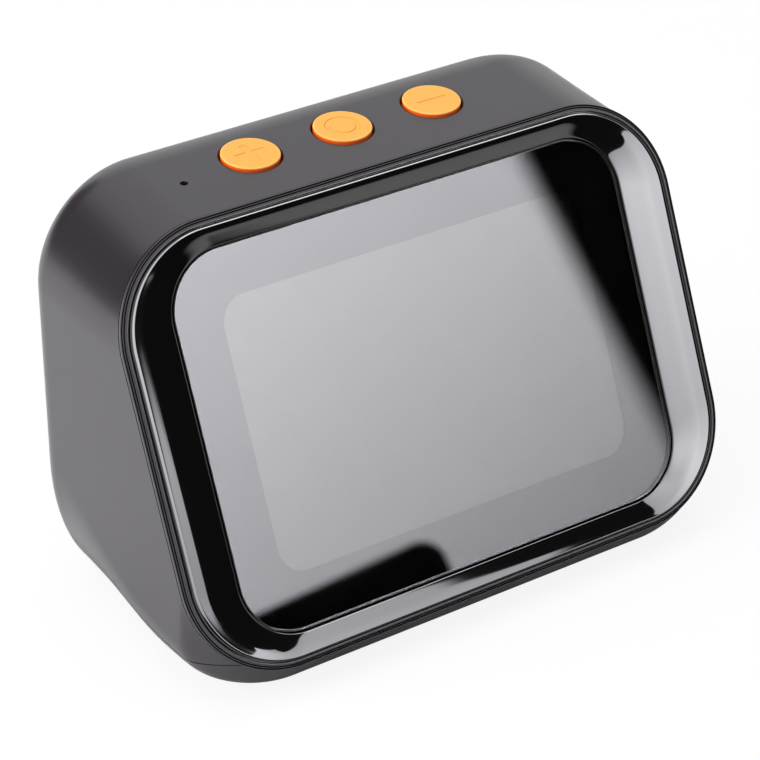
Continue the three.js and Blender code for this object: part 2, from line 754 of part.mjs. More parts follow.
function speakerBasket() {
  const { size, corner, thickness, hole } = speakerFlange;
  const flange = uprightPlate(size, size, corner, flangeBack, flangeFront);
  const skin = thickness;
  const ledgeInner = spiderRadius - 3 * skin;
  const bowl = turnedRing('y', [
    [hole + skin, flangeFront], [hole + skin, flangeBack],
    [spiderRadius + 2 * skin, basketLedge - skin], [ledgeInner + skin, basketLedge - skin],
    [ledgeInner + skin, basketBack], [ledgeInner, basketBack],
    [ledgeInner, basketLedge], [spiderRadius + skin, basketLedge], [hole, flangeBack], [hole, flangeFront],
  ], roundSides);
  const bore = bar('y', hole, flangeBack - fit, flangeFront + fit, [0, 0]);
  const screws = bars('y', screwHole, flangeBack - fit, flangeFront + fit, speakerPlaces);
  const windowTop = flangeBack - skin;
  const windowBottom = basketLedge + skin;
  const windows = Array.from({ length: basketWindows }, (_, k) =>
    box(spiderRadius, windowTop - windowBottom, 3 * hole, 0, (windowTop + windowBottom) / 2, 0)
      .translate(0, 0, 1.5 * hole + spiderRadius / 2).rotateY((k * 2 * Math.PI) / basketWindows));
  const ring = combine(flange, { remove: [bore, ...screws] });
  return combine(ring, { add: [bowl], remove: windows });
}

function speakerCone() {
  const t = coneThickness;
  return turnedRing('y', [
    [neckRadius, coneBack], [neckRadius + t, coneBack], [coneRadius - 2, coneFront - t],
    [coneRadius, coneFront - t], [coneRadius, coneFront], [coneRadius - 2 - t, coneFront],
  ]);
}

function speakerSurround() {
  const inner = coneRadius - 1.6;
  const outer = speakerFlange.hole + 1.8;
  const front = surroundSeat + suspension;
  const rollFrom = inner + 1.2;
  const rollTo = outer - 1.2;
  const middle = (rollFrom + rollTo) / 2;
  return turnedRing('y', [
    [inner, surroundSeat], [rollFrom, surroundSeat], [middle, surroundSeat + rollHeight - suspension],
    [rollTo, surroundSeat], [outer, surroundSeat], [outer, front], [rollTo, front],
    [middle, front + rollHeight - suspension], [rollFrom, front], [inner, front],
  ]);
}

function dustCap() {
  const rise = 2.2;
  const edge = neckRadius + coneThickness + 0.6;
  const base = coneBack + fit + 1.2;
  return turned('y', [
    [0, base + rise], [edge * 0.5, base + rise * 0.8], [edge * 0.85, base + rise * 0.35], [edge, base],
    [edge * 0.85 - coneThickness, base], [edge * 0.45, base + rise * 0.5], [0, base + rise * 0.7],
  ].reverse());
}

function speakerSpider() {
  const inner = formerOuter + fit;
  const waves = 2;
  const reach = (spiderRadius - inner) / waves;
  const crest = suspension * 0.8;
  const face = (offset) => Array.from({ length: 2 * waves + 1 }, (_, k) =>
    [inner + (k * reach) / 2, spiderBack + offset + (k % 2 ? crest : 0)]);
  return turnedRing('y', [...face(0), ...face(suspension).reverse()]);
}

// A plain ring between two heights of the loudspeaker's axis.
const ringShape = (inner, outer, from, to) =>
  turnedRing('y', [[inner, from], [outer, from], [outer, to], [inner, to]]);

function yoke() {
  return turned('y', [
    [0, yokeBack], [plateRadius, yokeBack], [plateRadius, yokeFront],
    [poleRadius, yokeFront], [poleRadius, plateFront], [0, plateFront],
  ]);
}

// Charging socket: a thin metal sleeve closed behind, round a flat tongue.
function socketSleeve() {
  const back = socketMouth - socket.depth;
  const outside = (depth) => plateRing(socket.width / 2, socket.tall / 2, socket.tall / 2, depth);
  const w = socket.wall;
  const inside = (depth) => plateRing(socket.width / 2 - w, socket.tall / 2 - w, socket.tall / 2 - w, depth);
  return loft([outside(back), outside(socketMouth), inside(socketMouth), inside(back + 2 * w)]);
}

function socketTongue() {
  const back = socketMouth - socket.depth + 2 * socket.wall + fit;
  const length = socket.depth - 2 * socket.wall - 1 - fit;
  return box(socket.tongue, length, socket.tongueTall, 0, back + length / 2, 0);
}

// A round lead along hand-chosen points.
function lead(points) {
  const circle = new THREE.Shape().absarc(0, 0, leadRadius, 0, 2 * Math.PI);
  const route = points.map((point) => new THREE.Vector3(...point));
  const extrudePath = new THREE.CatmullRomCurve3(route, false, 'centripetal');
  return new THREE.ExtrudeGeometry(circle, { steps: 16, curveSegments: 4, extrudePath, bevelEnabled: false });
}

// Assembly

addPiece(clock, 'rear_shell', rearShell(), mattePlastic);
addPiece(clock, 'base_cover', baseCover(), mattePlastic);
for (const [name, foot] of feet) addPiece(clock, name, footShape(foot), rubber);
basePlaces.forEach(([x, y], k) => {
  const shape = screwShape('z', baseBoss.top - wall).rotateX(Math.PI);
  const seat = screw.headHeight + fit / 2 - floorDrop;
  addPiece(clock, `base_screw_${k + 1}`, shape, darkSteel).position.set(x, y, seat);
});

addPiece(front, 'front_frame', frontFrame(), mattePlastic);
addPiece(front, 'gloss_bezel', glossBezel(), glossBlack);
addPiece(front, 'cover_glass', glassPlate(), coverGlass);
const panelPlate = uprightPlate(panel.width, panel.height, panel.corner, panelFront, panelBack);
addPiece(front, 'display_panel', panelPlate, displayGrey);
addPiece(front, 'backlight_tray', backlightTray(), trayWhite);
addPiece(front, 'display_carrier', carrierPlate(), innerBlack);
carrierPlaces.forEach(([x, up], k) => {
  const shape = screwShape('y', carrier.thickness + fit + ledgeThickness);
  addPiece(front, `carrier_screw_${k + 1}`, shape, darkSteel).position.set(x, carrierBack + fit / 2, up);
});
const boardPlate = uprightPlate(board.width, board.height, board.corner, boardFront, boardBack);
boardPlate.translate(0, 0, -boardDrop);
addPiece(front, 'main_board', drilledBoard(boardPlate, 'y', boardScrews, boardFront, boardBack), boardGreen);
boardScrews.forEach(([x, up], k) => {
  const shape = screwShape('y', board.thickness + boardPost.length / 2);
  addPiece(front, `board_screw_${k + 1}`, shape, darkSteel).position.set(x, boardBack + fit / 2, up);
});
const onBoard = (width, height, thickness, x, up) =>
  box(width, thickness, height, x, partsFront + thickness / 2, up - boardDrop);
addPiece(front, 'radio_shield_can', onBoard(can.width, can.height, can.thickness, can.x, can.up), steel);
const flexSocketUp = flexSocket.up - board.height / 2;
const flexPlug = onBoard(flexWidth + 4, flexSocket.height, flexSocket.thickness, 0, flexSocketUp);
addPiece(front, 'flex_connector', flexPlug, trayWhite);
addPiece(front, 'display_flex', displayFlex(), amber);

['plus', 'round', 'minus'].forEach((symbol, k) => {
  const pieces = [
    [`${symbol}_button`, buttonCap(), orangePlastic],
    [`${symbol}_switch_body`, switchHousing(), chipBlack],
    [`${symbol}_switch_plunger`, switchPlunger(), trayWhite],
  ];
  for (const [name, geometry, material] of pieces) {
    addPiece(top, name, geometry, material).position.x = buttonPlaces[k];
  }
});
const boardWidth = buttonBoard.left + buttonBoard.right;
const buttonLevels = [buttonBoardBottom, buttonBoardTop];
const buttonPlate = flatPlate(boardWidth, buttonBoard.depth, buttonBoard.corner, ...buttonLevels);
buttonPlate.translate((buttonBoard.right - buttonBoard.left) / 2, 0, 0);
addPiece(top, 'button_board', drilledBoard(buttonPlate, 'z', postPlaces, ...buttonLevels), boardGreen);
postPlaces.forEach(([x, y], k) => {
  const shape = screwShape('z', buttonBoard.thickness + screw.bite).rotateX(Math.PI);
  const seat = buttonBoardBottom - fit / 2;
  addPiece(top, `button_board_screw_${k + 1}`, shape, darkSteel).position.set(x, y, seat);
});
const capsuleTop = buttonBoardTop + fit + microphone.height;
const micPlace = [microphone.x, microphone.y];
const capsule = bar('z', microphone.radius, buttonBoardTop + fit, capsuleTop, micPlace, screwSides);
addPiece(top, 'microphone', capsule, steel);
const bootRing = turnedRing('z', [
  [microphone.hole, capsuleTop + fit], [microphone.boot, capsuleTop + fit],
  [microphone.boot, -wall - fit], [microphone.hole, -wall - fit],
], screwSides);
addPiece(top, 'microphone_boot', bootRing.translate(microphone.x, microphone.y, 0), rubber);

const gasketInner = speakerFlange.hole + 2.2;
const speakerPieces = [
  ['speaker_gasket', ringShape(gasketInner, gasketInner + gasketWidth, flangeFront + fit, -fit), rubber],
  ['speaker_basket', speakerBasket(), darkSteel],
  ['speaker_surround', speakerSurround(), rubber],
  ['speaker_cone', speakerCone(), paperBlack],
  ['speaker_dust_cap', dustCap(), paperBlack],
  ['voice_coil_former', ringShape(formerInner, formerOuter, formerBack, formerFront), copper],
  ['speaker_spider', speakerSpider(), amber],
  ['speaker_top_plate', ringShape(plateHole, plateRadius, plateBack, plateFront), steel],
  ['speaker_magnet', ringShape(magnet.inner, magnet.outer, magnetBack, magnetFront), ferrite],
  ['speaker_yoke', yoke(), steel],
];
for (const [name, geometry, material] of speakerPieces) addPiece(rear, name, geometry, material);
speakerPlaces.forEach(([x, z], k) => {
  const shape = screwShape('y', speakerFlange.thickness + screw.bite / 2).rotateX(Math.PI);
  addPiece(rear, `speaker_screw_${k + 1}`, shape, darkSteel).position.set(x, flangeBack - fit / 2, z);
});

const socketLevels = [socketBoardBottom, socketBoardTop];
const socketPlate = flatPlate(socketBoard.width, socketBoard.depth, socketBoard.corner, ...socketLevels);
socketPlate.translate(0, socketBoardY, 0);
addPiece(clock, 'usb_board', drilledBoard(socketPlate, 'z', socketHoles, ...socketLevels), boardGreen);
addPiece(clock, 'usb_socket', socketSleeve(), steel).position.z = inlet.height;
addPiece(clock, 'usb_tongue', socketTongue(), chipBlack).position.z = inlet.height;
socketHoles.forEach(([x, y], k) => {
  const shape = screwShape('z', socketBoard.thickness + screw.bite);
  addPiece(clock, `usb_board_screw_${k + 1}`, shape, darkSteel).position.set(x, y, socketBoardTop + fit / 2);
});

const fromFront = (x, up, depth) => {
  const { y, z } = frontPoint(up, depth);
  return [x, y, z];
};
const fromTop = (x, y, z) => top.localToWorld(new THREE.Vector3(x, y, z)).toArray();
const boardEnd = (x, up) => [fromFront(x, up, boardBack + leadRise), fromFront(x, up, boardBack + fit)];
const flangeMiddle = rearInside + (flangeFront + flangeBack) / 2;
const flangeSide = speakerFlange.size / 2 + fit;
const speakerLead = [
  [flangeSide, flangeMiddle, speakerHeight],
  [flangeSide + leadRise / 2, flangeMiddle, speakerHeight],
  [flangeSide + leadRise, flangeMiddle - leadRise, speakerHeight],
  ...boardEnd(board.width / 2 - speakerSocket.inset, speakerSocket.up - boardDrop),
];
const buttonLeadX = buttonSocket.boardInset - buttonBoard.left;
const buttonLead = [
  fromTop(buttonLeadX, 0, buttonBoardBottom - fit),
  fromTop(buttonLeadX, 0, buttonBoardBottom - leadRise),
  ...boardEnd(buttonSocket.inset - board.width / 2, buttonSocket.up - boardDrop),
];
const socketLeadY = socketBoardY - socketBoard.depth / 4;
const powerLead = [
  [powerSocket.from, socketLeadY, socketBoardTop + fit],
  [powerSocket.from, socketLeadY - 1, socketBoardTop + leadRise],
  ...boardEnd(board.width / 2 - powerSocket.inset, powerSocket.up - boardDrop),
];
addPiece(clock, 'speaker_lead', lead(speakerLead), rubber);
addPiece(clock, 'button_lead', lead(buttonLead), rubber);
addPiece(clock, 'usb_lead', lead(powerLead), rubber);

// The clock stands with the middle of its footprint on the origin.
const bounds = new THREE.Box3().setFromObject(clock, true);
const middle = bounds.getCenter(new THREE.Vector3());
clock.position.set(-middle.x, -middle.y, -bounds.min.z);

export default clock;
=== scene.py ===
"""Looks of the smart speaker clock: fine surfaces, finishes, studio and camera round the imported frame."""

import json
import logging
import math
from dataclasses import dataclass
from enum import Enum
from typing import Callable, Sequence, Union

import bpy
import numpy as np
from mathutils import Matrix, Vector


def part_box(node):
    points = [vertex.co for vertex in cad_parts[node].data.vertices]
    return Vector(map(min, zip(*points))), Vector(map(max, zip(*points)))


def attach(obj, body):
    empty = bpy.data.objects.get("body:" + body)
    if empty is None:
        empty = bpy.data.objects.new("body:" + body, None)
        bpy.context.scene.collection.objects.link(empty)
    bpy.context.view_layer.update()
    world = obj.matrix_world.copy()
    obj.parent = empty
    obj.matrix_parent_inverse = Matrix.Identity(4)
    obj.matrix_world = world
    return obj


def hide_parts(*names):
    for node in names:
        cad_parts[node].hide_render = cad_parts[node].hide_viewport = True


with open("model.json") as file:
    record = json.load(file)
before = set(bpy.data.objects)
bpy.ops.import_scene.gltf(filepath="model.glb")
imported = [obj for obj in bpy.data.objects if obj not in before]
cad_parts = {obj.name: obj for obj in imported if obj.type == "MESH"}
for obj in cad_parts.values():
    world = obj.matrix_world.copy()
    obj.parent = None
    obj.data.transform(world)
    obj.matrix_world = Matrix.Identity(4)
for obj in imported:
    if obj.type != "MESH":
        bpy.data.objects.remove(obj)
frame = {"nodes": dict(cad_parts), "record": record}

MM = 0.001
CLOCK_BODY = "clock"
SIDES = (-1, 1)
AXIS_RADIUS = 0.02
MOST_CUT = 0.45
WHITE = (1.0, 1.0, 1.0, 1.0)
BLACK = (0.0, 0.0, 0.0, 1.0)
Number = Union[float, np.ndarray]
Operand = Union["Value", float]
log = logging.getLogger("clock")


def smooth(share: np.ndarray) -> np.ndarray:
    """Smoothstep: 3 s squared minus 2 s cubed, with s kept between 0 and 1.

    Args:
        share: Any array.

    Returns:
        The eased array.
    """
    kept = np.clip(share, 0.0, 1.0)
    return kept * kept * (3.0 - 2.0 * kept)


def mix(first: Number, second: Number, share: Number) -> Number:
    """The straight blend from first, at share 0, to second, at share 1.

    Args:
        first: Number or array at share 0.
        second: Number or array at share 1.
        share: Number or array.

    Returns:
        The blend.
    """
    return first + (second - first) * share


@dataclass(frozen=True)
class HousingForm:
    """Sizes of the moulded housing in millimetres, from the centre of its leaning front outline."""

    width: float = 112.8
    height: float = 78.2
    corner: float = 19.0
    lean_deg: float = 23.6
    slope_deg: float = 4.1
    top_corner: float = 19.2
    rear: float = 48.6
    rear_fillet: float = 12.0
    rear_side: float = 24.0
    chin_height: float = 5.2
    floor_rise: float = 10.3
    parting_rise: float = 8.6
    wall: float = 2.2
    chin_wall: float = 1.2
    chin_setback: float = 5.6
    chin_lean: float = 2.2
    chin_corner: tuple[float, float] = (19.0, 12.0)
    side_corner: tuple[float, float] = (12.1, 12.7)
    heel_corner: tuple[float, float] = (11.0, 24.0)
    heel_shrink: float = 0.6
    side_share: float = 0.25
    top_lead: float = 2.1
    rim_depth: float = 1.45
    foot_proud: float = 0.6
    button_inset: float = 18.85
    button_pitch: float = 18.75
    feet: tuple[tuple[str, float, float], ...] = (("front_foot", -2.6, 66.0), ("rear_foot", 27.5, 52.0))
    foot_depth: float = 7.2
    corner_steps: int = 28
    edge_steps: int = 14
    chin_steps: int = 22
    belly_steps: int = 44
    rear_steps: int = 26
    ease_from: int = 5
    ease_before_end: int = 3
    ease_passes: int = 30
    ease_inside: float = 38.0
    ease_outside: float = 50.0

    @property
    def half(self) -> float:
        """Half the width."""
        return self.width / 2

    @property
    def tall(self) -> float:
        """Half the height of the front, along its slope."""
        return self.height / 2

    @property
    def lean(self) -> float:
        """Lean of the front in radians."""
        return math.radians(self.lean_deg)

    @property
    def slope(self) -> float:
        """Slope of the top in radians."""
        return math.radians(self.slope_deg)

    @property
    def floor(self) -> float:
        """Height of the flat underside."""
        return -(self.tall * math.cos(self.lean) + self.rim_depth * math.sin(self.lean) + self.chin_height)

    @property
    def parting(self) -> float:
        """Height of the cut between shell and base."""
        return self.floor + self.parting_rise

    def front_point(self, up: Number, depth: Number) -> tuple[Number, Number]:
        """A point of the leaning front's plane, turned by the lean about the X axis.

        Args:
            up: Distance up the slope.
            depth: Distance behind the plane.

        Returns:
            The y and z coordinates.
        """
        cosine, sine = math.cos(self.lean), math.sin(self.lean)
        return up * sine + depth * cosine, up * cosine - depth * sine

    def top_profile(self, inset: float) -> tuple[float, float, float, Callable[[Number], np.ndarray]]:
        """Side profile of the top: a sloping line that runs into the round rear edge.

        Args:
            inset: Distance inward, square to the surface.

        Returns:
            Fillet radius, the fillet's centre y and z, and a function of y for the height.
        """
        edge_y, edge_z = self.front_point(self.tall, self.rim_depth)
        fillet = self.rear_fillet - inset
        centre_y = self.rear - self.rear_fillet

        def line(y: Number) -> Number:
            """Height of the sloping line."""
            return edge_z + (y - edge_y) * math.tan(self.slope) - inset / math.cos(self.slope)

        centre_z = line(centre_y) - fillet / math.cos(self.slope)
        round_from = centre_y - fillet * math.sin(self.slope)

        def height(y: Number) -> np.ndarray:
            """Height of the line, or of the arc behind it."""
            arc = centre_z + np.sqrt(np.maximum(fillet**2 - (y - centre_y) ** 2, 0.0))
            return np.where(y < round_from, line(y), arc)

        return fillet, centre_y, centre_z, height

    def sections(self, inset: float, chin_inset: float, ahead: float) -> np.ndarray:
        """Table of the sections from the leaning front, under the chin and along the belly, to the rear.

        The chin's bottom point follows a quadratic curve, the belly's a straight line and the rear's a
        quarter round, while the top point runs back along the top's side profile.

        Args:
            inset: How far the form is drawn in.
            chin_inset: How far the chin is drawn in.
            ahead: How far an extra first section stands ahead of the rim, or 0 for none.

        Returns:
            Rows of half width, bottom y and z, top y and z, top radius, and bottom corner reach and rise.
        """
        fillet, centre_y, centre_z, height = self.top_profile(inset)
        half = self.half - inset
        floor = self.floor + inset
        chin_y, chin_z = self.front_point(-self.tall, self.rim_depth)
        chin_angle = math.atan2(self.chin_lean, chin_z - self.floor) + self.lean
        up_top = self.tall - inset / math.cos(self.lean + self.slope)
        up_chin = chin_inset / math.sin(chin_angle) - self.tall
        start_y, _ = self.front_point(up_top, self.rim_depth)
        controls = np.array([
            self.front_point(up_chin, self.rim_depth),
            (chin_y + self.chin_lean + chin_inset, floor),
            (chin_y + self.chin_setback, floor),
        ])
        chin_top = start_y + self.top_lead
        front_round = np.array([self.corner, self.corner])
        chin_round, side_round, heel_round = map(
            np.array, (self.chin_corner, self.side_corner, self.heel_corner)
        )

        share = np.linspace(0, 1, self.chin_steps + 1)[:, None]
        weights = np.hstack([(1 - share) ** 2, 2 * share * (1 - share), share**2])
        top_y = mix(start_y, chin_top, share)
        chin = np.hstack([
            np.full_like(share, half), weights @ controls, top_y, height(top_y),
            np.full_like(share, self.corner - inset),
            mix(front_round, chin_round, smooth(share)) - inset,
        ])

        share = np.linspace(0, 1, self.belly_steps + 1)[1:, None]
        top_y = mix(chin_top, centre_y, share)
        early = smooth(share / self.side_share)
        late = smooth((share - self.side_share) / (1 - self.side_share))
        rounds = np.where(
            share < self.side_share, mix(chin_round, side_round, early), mix(side_round, heel_round, late)
        )
        belly = np.hstack([
            np.full_like(share, half), mix(controls[2, 0], centre_y, share), np.full_like(share, floor),
            top_y, height(top_y), mix(self.corner, self.top_corner, share) - inset, rounds - inset,
        ])

        angle = np.linspace(0, math.pi / 2, self.rear_steps + 1)[1:, None]
        drawn = 1 - np.cos(angle)
        y = centre_y + fillet * np.sin(angle)
        rear = np.hstack([
            half - (self.rear_side - inset) * drawn, y, floor + (self.floor_rise - inset) * drawn,
            y, centre_z + fillet * np.cos(angle), self.top_corner - inset - fillet * drawn,
            (heel_round - inset) * (1 - self.heel_shrink * drawn),
        ])

        tables = [chin, belly, rear]
        if ahead:
            depth = self.rim_depth - ahead
            first = [half, *self.front_point(up_chin, depth), *self.front_point(up_top, depth)]
            tables.insert(0, np.array([first + [self.corner - inset] * 3]))
        return np.vstack(tables)

    def loft(self, inset: float = 0.0, chin_inset: float = 0.0, ahead: float = 0.0) -> np.ndarray:
        """Grid of points: a rounded outline in the plane of each section.

        Args:
            inset: How far the form is drawn in.
            chin_inset: How far the chin is drawn in.
            ahead: How far an extra first section stands ahead of the rim.

        Returns:
            Array of sections by outline points by three.
        """
        table = self.sections(inset, chin_inset, ahead)
        half, bottom_y, bottom_z, top_y, top_z, radius, reach, rise = table.T[:, :, None]
        height = np.hypot(top_y - bottom_y, top_z - bottom_z)
        steps = self.corner_steps, self.edge_steps
        flat = outline(half, height / 2, (radius, radius), (reach, rise), *steps)
        share = flat[..., 1] / height + 0.5
        grid = np.stack([flat[..., 0], mix(bottom_y, top_y, share), mix(bottom_z, top_z, share)], axis=-1)
        return self._eased(grid)

    def _eased(self, grid: np.ndarray) -> np.ndarray:
        """Near the sides, each section averaged over and over with its neighbours, from rim to belly."""
        first, last = self.ease_from, self.chin_steps + self.belly_steps - self.ease_before_end
        even = grid.copy()
        for _ in range(self.ease_passes):
            ahead, behind = even[first - 1:last - 1], even[first + 1:last + 1]
            even[first:last] = (ahead + 2 * even[first:last] + behind) / 4
        share = smooth((np.abs(grid[..., :1]) - self.ease_inside) / (self.ease_outside - self.ease_inside))
        return mix(grid, even, share)


def outline(
    half: np.ndarray, tall: np.ndarray, top_round: Sequence[np.ndarray], bottom_round: Sequence[np.ndarray],
    corner_steps: int, edge_steps: int,
) -> np.ndarray:
    """Rounded rectangles: a quarter ellipse at each corner, joined by straight edges.

    Args:
        half: Column of half widths.
        tall: Column of half heights.
        top_round: Radii of the two top corners across and up.
        bottom_round: Radii of the two bottom corners across and up.
        corner_steps: Steps round each corner.
        edge_steps: Steps along each straight edge.

    Returns:
        Array of outlines by points by two, anticlockwise from the right.
    """
    quarter = np.linspace(0, math.pi / 2, corner_steps + 1)[None, :]
    sides = ((1, 1, top_round), (-1, 1, top_round), (-1, -1, bottom_round), (1, -1, bottom_round))
    corners = []
    for turn, (side, level, (across, upward)) in enumerate(sides):
        angle = quarter + turn * math.pi / 2
        x = side * (half - across) + across * np.cos(angle)
        z = level * (tall - upward) + upward * np.sin(angle)
        corners.append(np.stack([x, z], axis=-1))
    steps = np.linspace(0, 1, edge_steps + 1)[1:-1][None, :, None]
    runs = []
    for here, following in zip(corners, corners[1:] + corners[:1]):
        runs += [here, mix(here[:, -1:], following[:, :1], steps)]
    return np.concatenate(runs, axis=1)


def soften(profile: Sequence[tuple[float, float]], radius: float, steps: int) -> np.ndarray:
    """A closed profile with each corner replaced by a quadratic curve.

    Args:
        profile: Corner points in order.
        radius: How far along its edges each corner is cut, at most MOST_CUT of the edge.
        steps: Points of each corner's curve.

    Returns:
        Array of points by two.
    """
    points = np.array(profile, float)
    before = np.roll(points, 1, axis=0) - points
    after = np.roll(points, -1, axis=0) - points

    def cut(edge: np.ndarray) -> np.ndarray:
        """Where the corners are cut along an edge."""
        length = np.linalg.norm(edge, axis=1, keepdims=True)
        return points + edge * np.minimum(radius / length, MOST_CUT)

    return corner_curves(cut(before), points, cut(after), steps)


def soften_table(table: np.ndarray, share: float, steps: int) -> np.ndarray:
    """A closed row of stations with each one replaced by a quadratic curve between its neighbours.

    Args:
        table: Stations by values.
        share: Part of each neighbouring span that the curve takes up, below a half.
        steps: Stations of each curve.

    Returns:
        The longer table.
    """
    before = np.roll(table, 1, axis=0) - table
    after = np.roll(table, -1, axis=0) - table
    return corner_curves(table + before * share, table, table + after * share, steps)


def corner_curves(start: np.ndarray, middle: np.ndarray, end: np.ndarray, steps: int) -> np.ndarray:
    """Quadratic curves from start to end, each drawn towards its middle, one after the other.

    Args:
        start: First point of each curve.
        middle: The corner that each curve replaces.
        end: Last point of each curve.
        steps: Points of each curve.

    Returns:
        Array of all the points.
    """
    start, middle, end = start[:, None], middle[:, None], end[:, None]
    share = np.linspace(0, 1, steps)[None, :, None]
    curve = (1 - share) ** 2 * start + 2 * share * (1 - share) * middle + share**2 * end
    return curve.reshape(-1, middle.shape[-1])


def lifted(flat: np.ndarray, level: np.ndarray, y: float = 0.0) -> np.ndarray:
    """Flat outlines, each lifted to its level and moved along Y.

    Args:
        flat: Outlines by points by two.
        level: Column of heights.
        y: How far the outlines are moved.

    Returns:
        Array of outlines by points by three.
    """
    height = np.broadcast_to(level, flat.shape[:2])
    return np.stack([flat[..., 0], flat[..., 1] + y, height], axis=-1)


class Places:
    """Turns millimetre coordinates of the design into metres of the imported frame."""

    def __init__(self, form: HousingForm) -> None:
        """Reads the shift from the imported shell's rear face and the front foot's underside.

        Args:
            form: The housing's sizes.
        """
        _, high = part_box("rear_shell")
        low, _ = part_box("front_foot")
        self.form = form
        self.shift = np.array([0.0, high.y / MM - form.rear, low.z / MM - form.floor + form.foot_proud])
        row = form.rear - form.button_inset
        _, _, _, height = form.top_profile(0.0)
        self.top_origin = np.array([0.0, row, float(height(np.array(row)))])

    def world(self, points: np.ndarray) -> np.ndarray:
        """From design millimetres to frame metres."""
        return (points + self.shift) * MM

    def front(self, points: np.ndarray) -> np.ndarray:
        """From across, depth and up on the leaning front to design millimetres."""
        y, z = self.form.front_point(points[..., 2], points[..., 1])
        return np.stack([points[..., 0], y, z], axis=-1)

    def top(self, points: np.ndarray) -> np.ndarray:
        """From the plane of the sloping top to design millimetres."""
        cosine, sine = math.cos(self.form.slope), math.sin(self.form.slope)
        y = points[..., 1] * cosine - points[..., 2] * sine
        z = points[..., 1] * sine + points[..., 2] * cosine
        return np.stack([points[..., 0], y, z], axis=-1) + self.top_origin


def grid_faces(rows: int, columns: int, closed: bool) -> np.ndarray:
    """Quads of a grid that closes on itself along its columns, and along its rows where asked.

    Args:
        rows: Count of rings.
        columns: Points in each ring.
        closed: Whether the last ring joins the first.

    Returns:
        Array of quads by four indices.
    """
    row = np.arange(rows if closed else rows - 1)[:, None]
    column = np.arange(columns)[None, :]
    beside = (column + 1) % columns
    below = (row + 1) % rows
    here, there = row * columns, below * columns
    corners = [here + column, there + column, there + beside, here + beside]
    return np.stack(np.broadcast_arrays(*corners), axis=-1).reshape(-1, 4)


def mesh_object(name: str, grid: np.ndarray, closed: bool = False) -> bpy.types.Object:
    """A closed body through rings of equal count, with its faces turned outwards.

    Args:
        name: Name of the object.
        grid: Rings by points by three, in metres.
        closed: Whether the last ring joins the first; otherwise flat faces close both ends.

    Returns:
        The object, linked to the scene.
    """
    rows, columns = grid.shape[:2]
    points = grid.reshape(-1, 3)
    quads = grid_faces(rows, columns, closed)
    first = points[quads]
    volume = np.einsum("ij,ij->", first[:, 0], np.cross(first[:, 1], first[:, 2]))
    volume += np.einsum("ij,ij->", first[:, 0], np.cross(first[:, 2], first[:, 3]))
    faces = quads.tolist()
    if not closed:
        ends = [list(range(columns)), list(range(rows * columns - 1, (rows - 1) * columns - 1, -1))]
        for end in ends:
            loop = points[end]
            following = np.roll(loop, -1, axis=0)
            volume += np.einsum("ij,ij->", np.broadcast_to(loop[0], loop.shape), np.cross(loop, following))
        faces += ends
    if volume < 0:
        faces = [face[::-1] for face in faces]
    mesh = bpy.data.meshes.new(name)
    mesh.from_pydata(points.tolist(), [], faces)
    mesh.update()
    made = bpy.data.objects.new(name, mesh)
    bpy.context.scene.collection.objects.link(made)
    return made


def bake(target: bpy.types.Object) -> None:
    """Puts the object's modifiers into its mesh.

    Args:
        target: The object.
    """
    bpy.context.view_layer.update()
    graph = bpy.context.evaluated_depsgraph_get()
    mesh = bpy.data.meshes.new_from_object(target.evaluated_get(graph))
    target.modifiers.clear()
    target.data = mesh


class Join(Enum):
    """How a tool works on a body."""

    CUT = "DIFFERENCE"
    ADD = "UNION"


def combine(target: bpy.types.Object, how: Join, tools: Sequence[bpy.types.Object]) -> None:
    """Cuts tools out of a body, or adds them to it, and removes the tools.

    Args:
        target: The body.
        how: Cut or add.
        tools: Closed bodies in the same frame.
    """
    for tool in tools:
        step = target.modifiers.new(how.name.lower(), "BOOLEAN")
        step.operation = how.value
        step.solver = "MANIFOLD"
        step.object = tool
    bake(target)
    for tool in tools:
        bpy.data.objects.remove(tool)


def shade(target: bpy.types.Object, angle_deg: float = 32.0) -> None:
    """Smooth shading that stays sharp at edges above an angle.

    Args:
        target: The object.
        angle_deg: The angle.
    """
    target.data.shade_smooth()
    target.data.set_sharp_from_angle(angle=math.radians(angle_deg))
    even = target.modifiers.new("even", "WEIGHTED_NORMAL")
    even.keep_sharp = True
    even.weight = 80
    bake(target)


def block(name: str, low: Sequence[float], high: Sequence[float], places: Places) -> bpy.types.Object:
    """A plain box between two corners in design millimetres.

    Args:
        name: Name of the object.
        low: Lowest corner.
        high: Highest corner.
        places: The frame.

    Returns:
        The object.
    """
    x = np.array([low[0], high[0], high[0], low[0]])
    y = np.array([low[1], low[1], high[1], high[1]])
    grid = np.stack([np.stack([x, y, np.full(4, z)], axis=-1) for z in (low[2], high[2])])
    return mesh_object(name, places.world(grid))


def turned(profile: Sequence[tuple[float, float]], sides: int) -> np.ndarray:
    """A profile of radius and height carried round the Z axis.

    Args:
        profile: Radius and height pairs.
        sides: Points round the axis.

    Returns:
        Array of profile points by sides by three.
    """
    radius, height = np.array(profile, float).T[:, :, None]
    angle = np.linspace(0, 2 * math.pi, sides, endpoint=False)[None, :]
    flat = np.broadcast_to(height, (height.shape[0], sides))
    return np.stack([radius * np.cos(angle), radius * np.sin(angle), flat], axis=-1)


def shifted(grid: np.ndarray, x: float, y: float, z: float = 0.0) -> np.ndarray:
    """The same grid moved by x, y and z."""
    return grid + np.array([x, y, z])


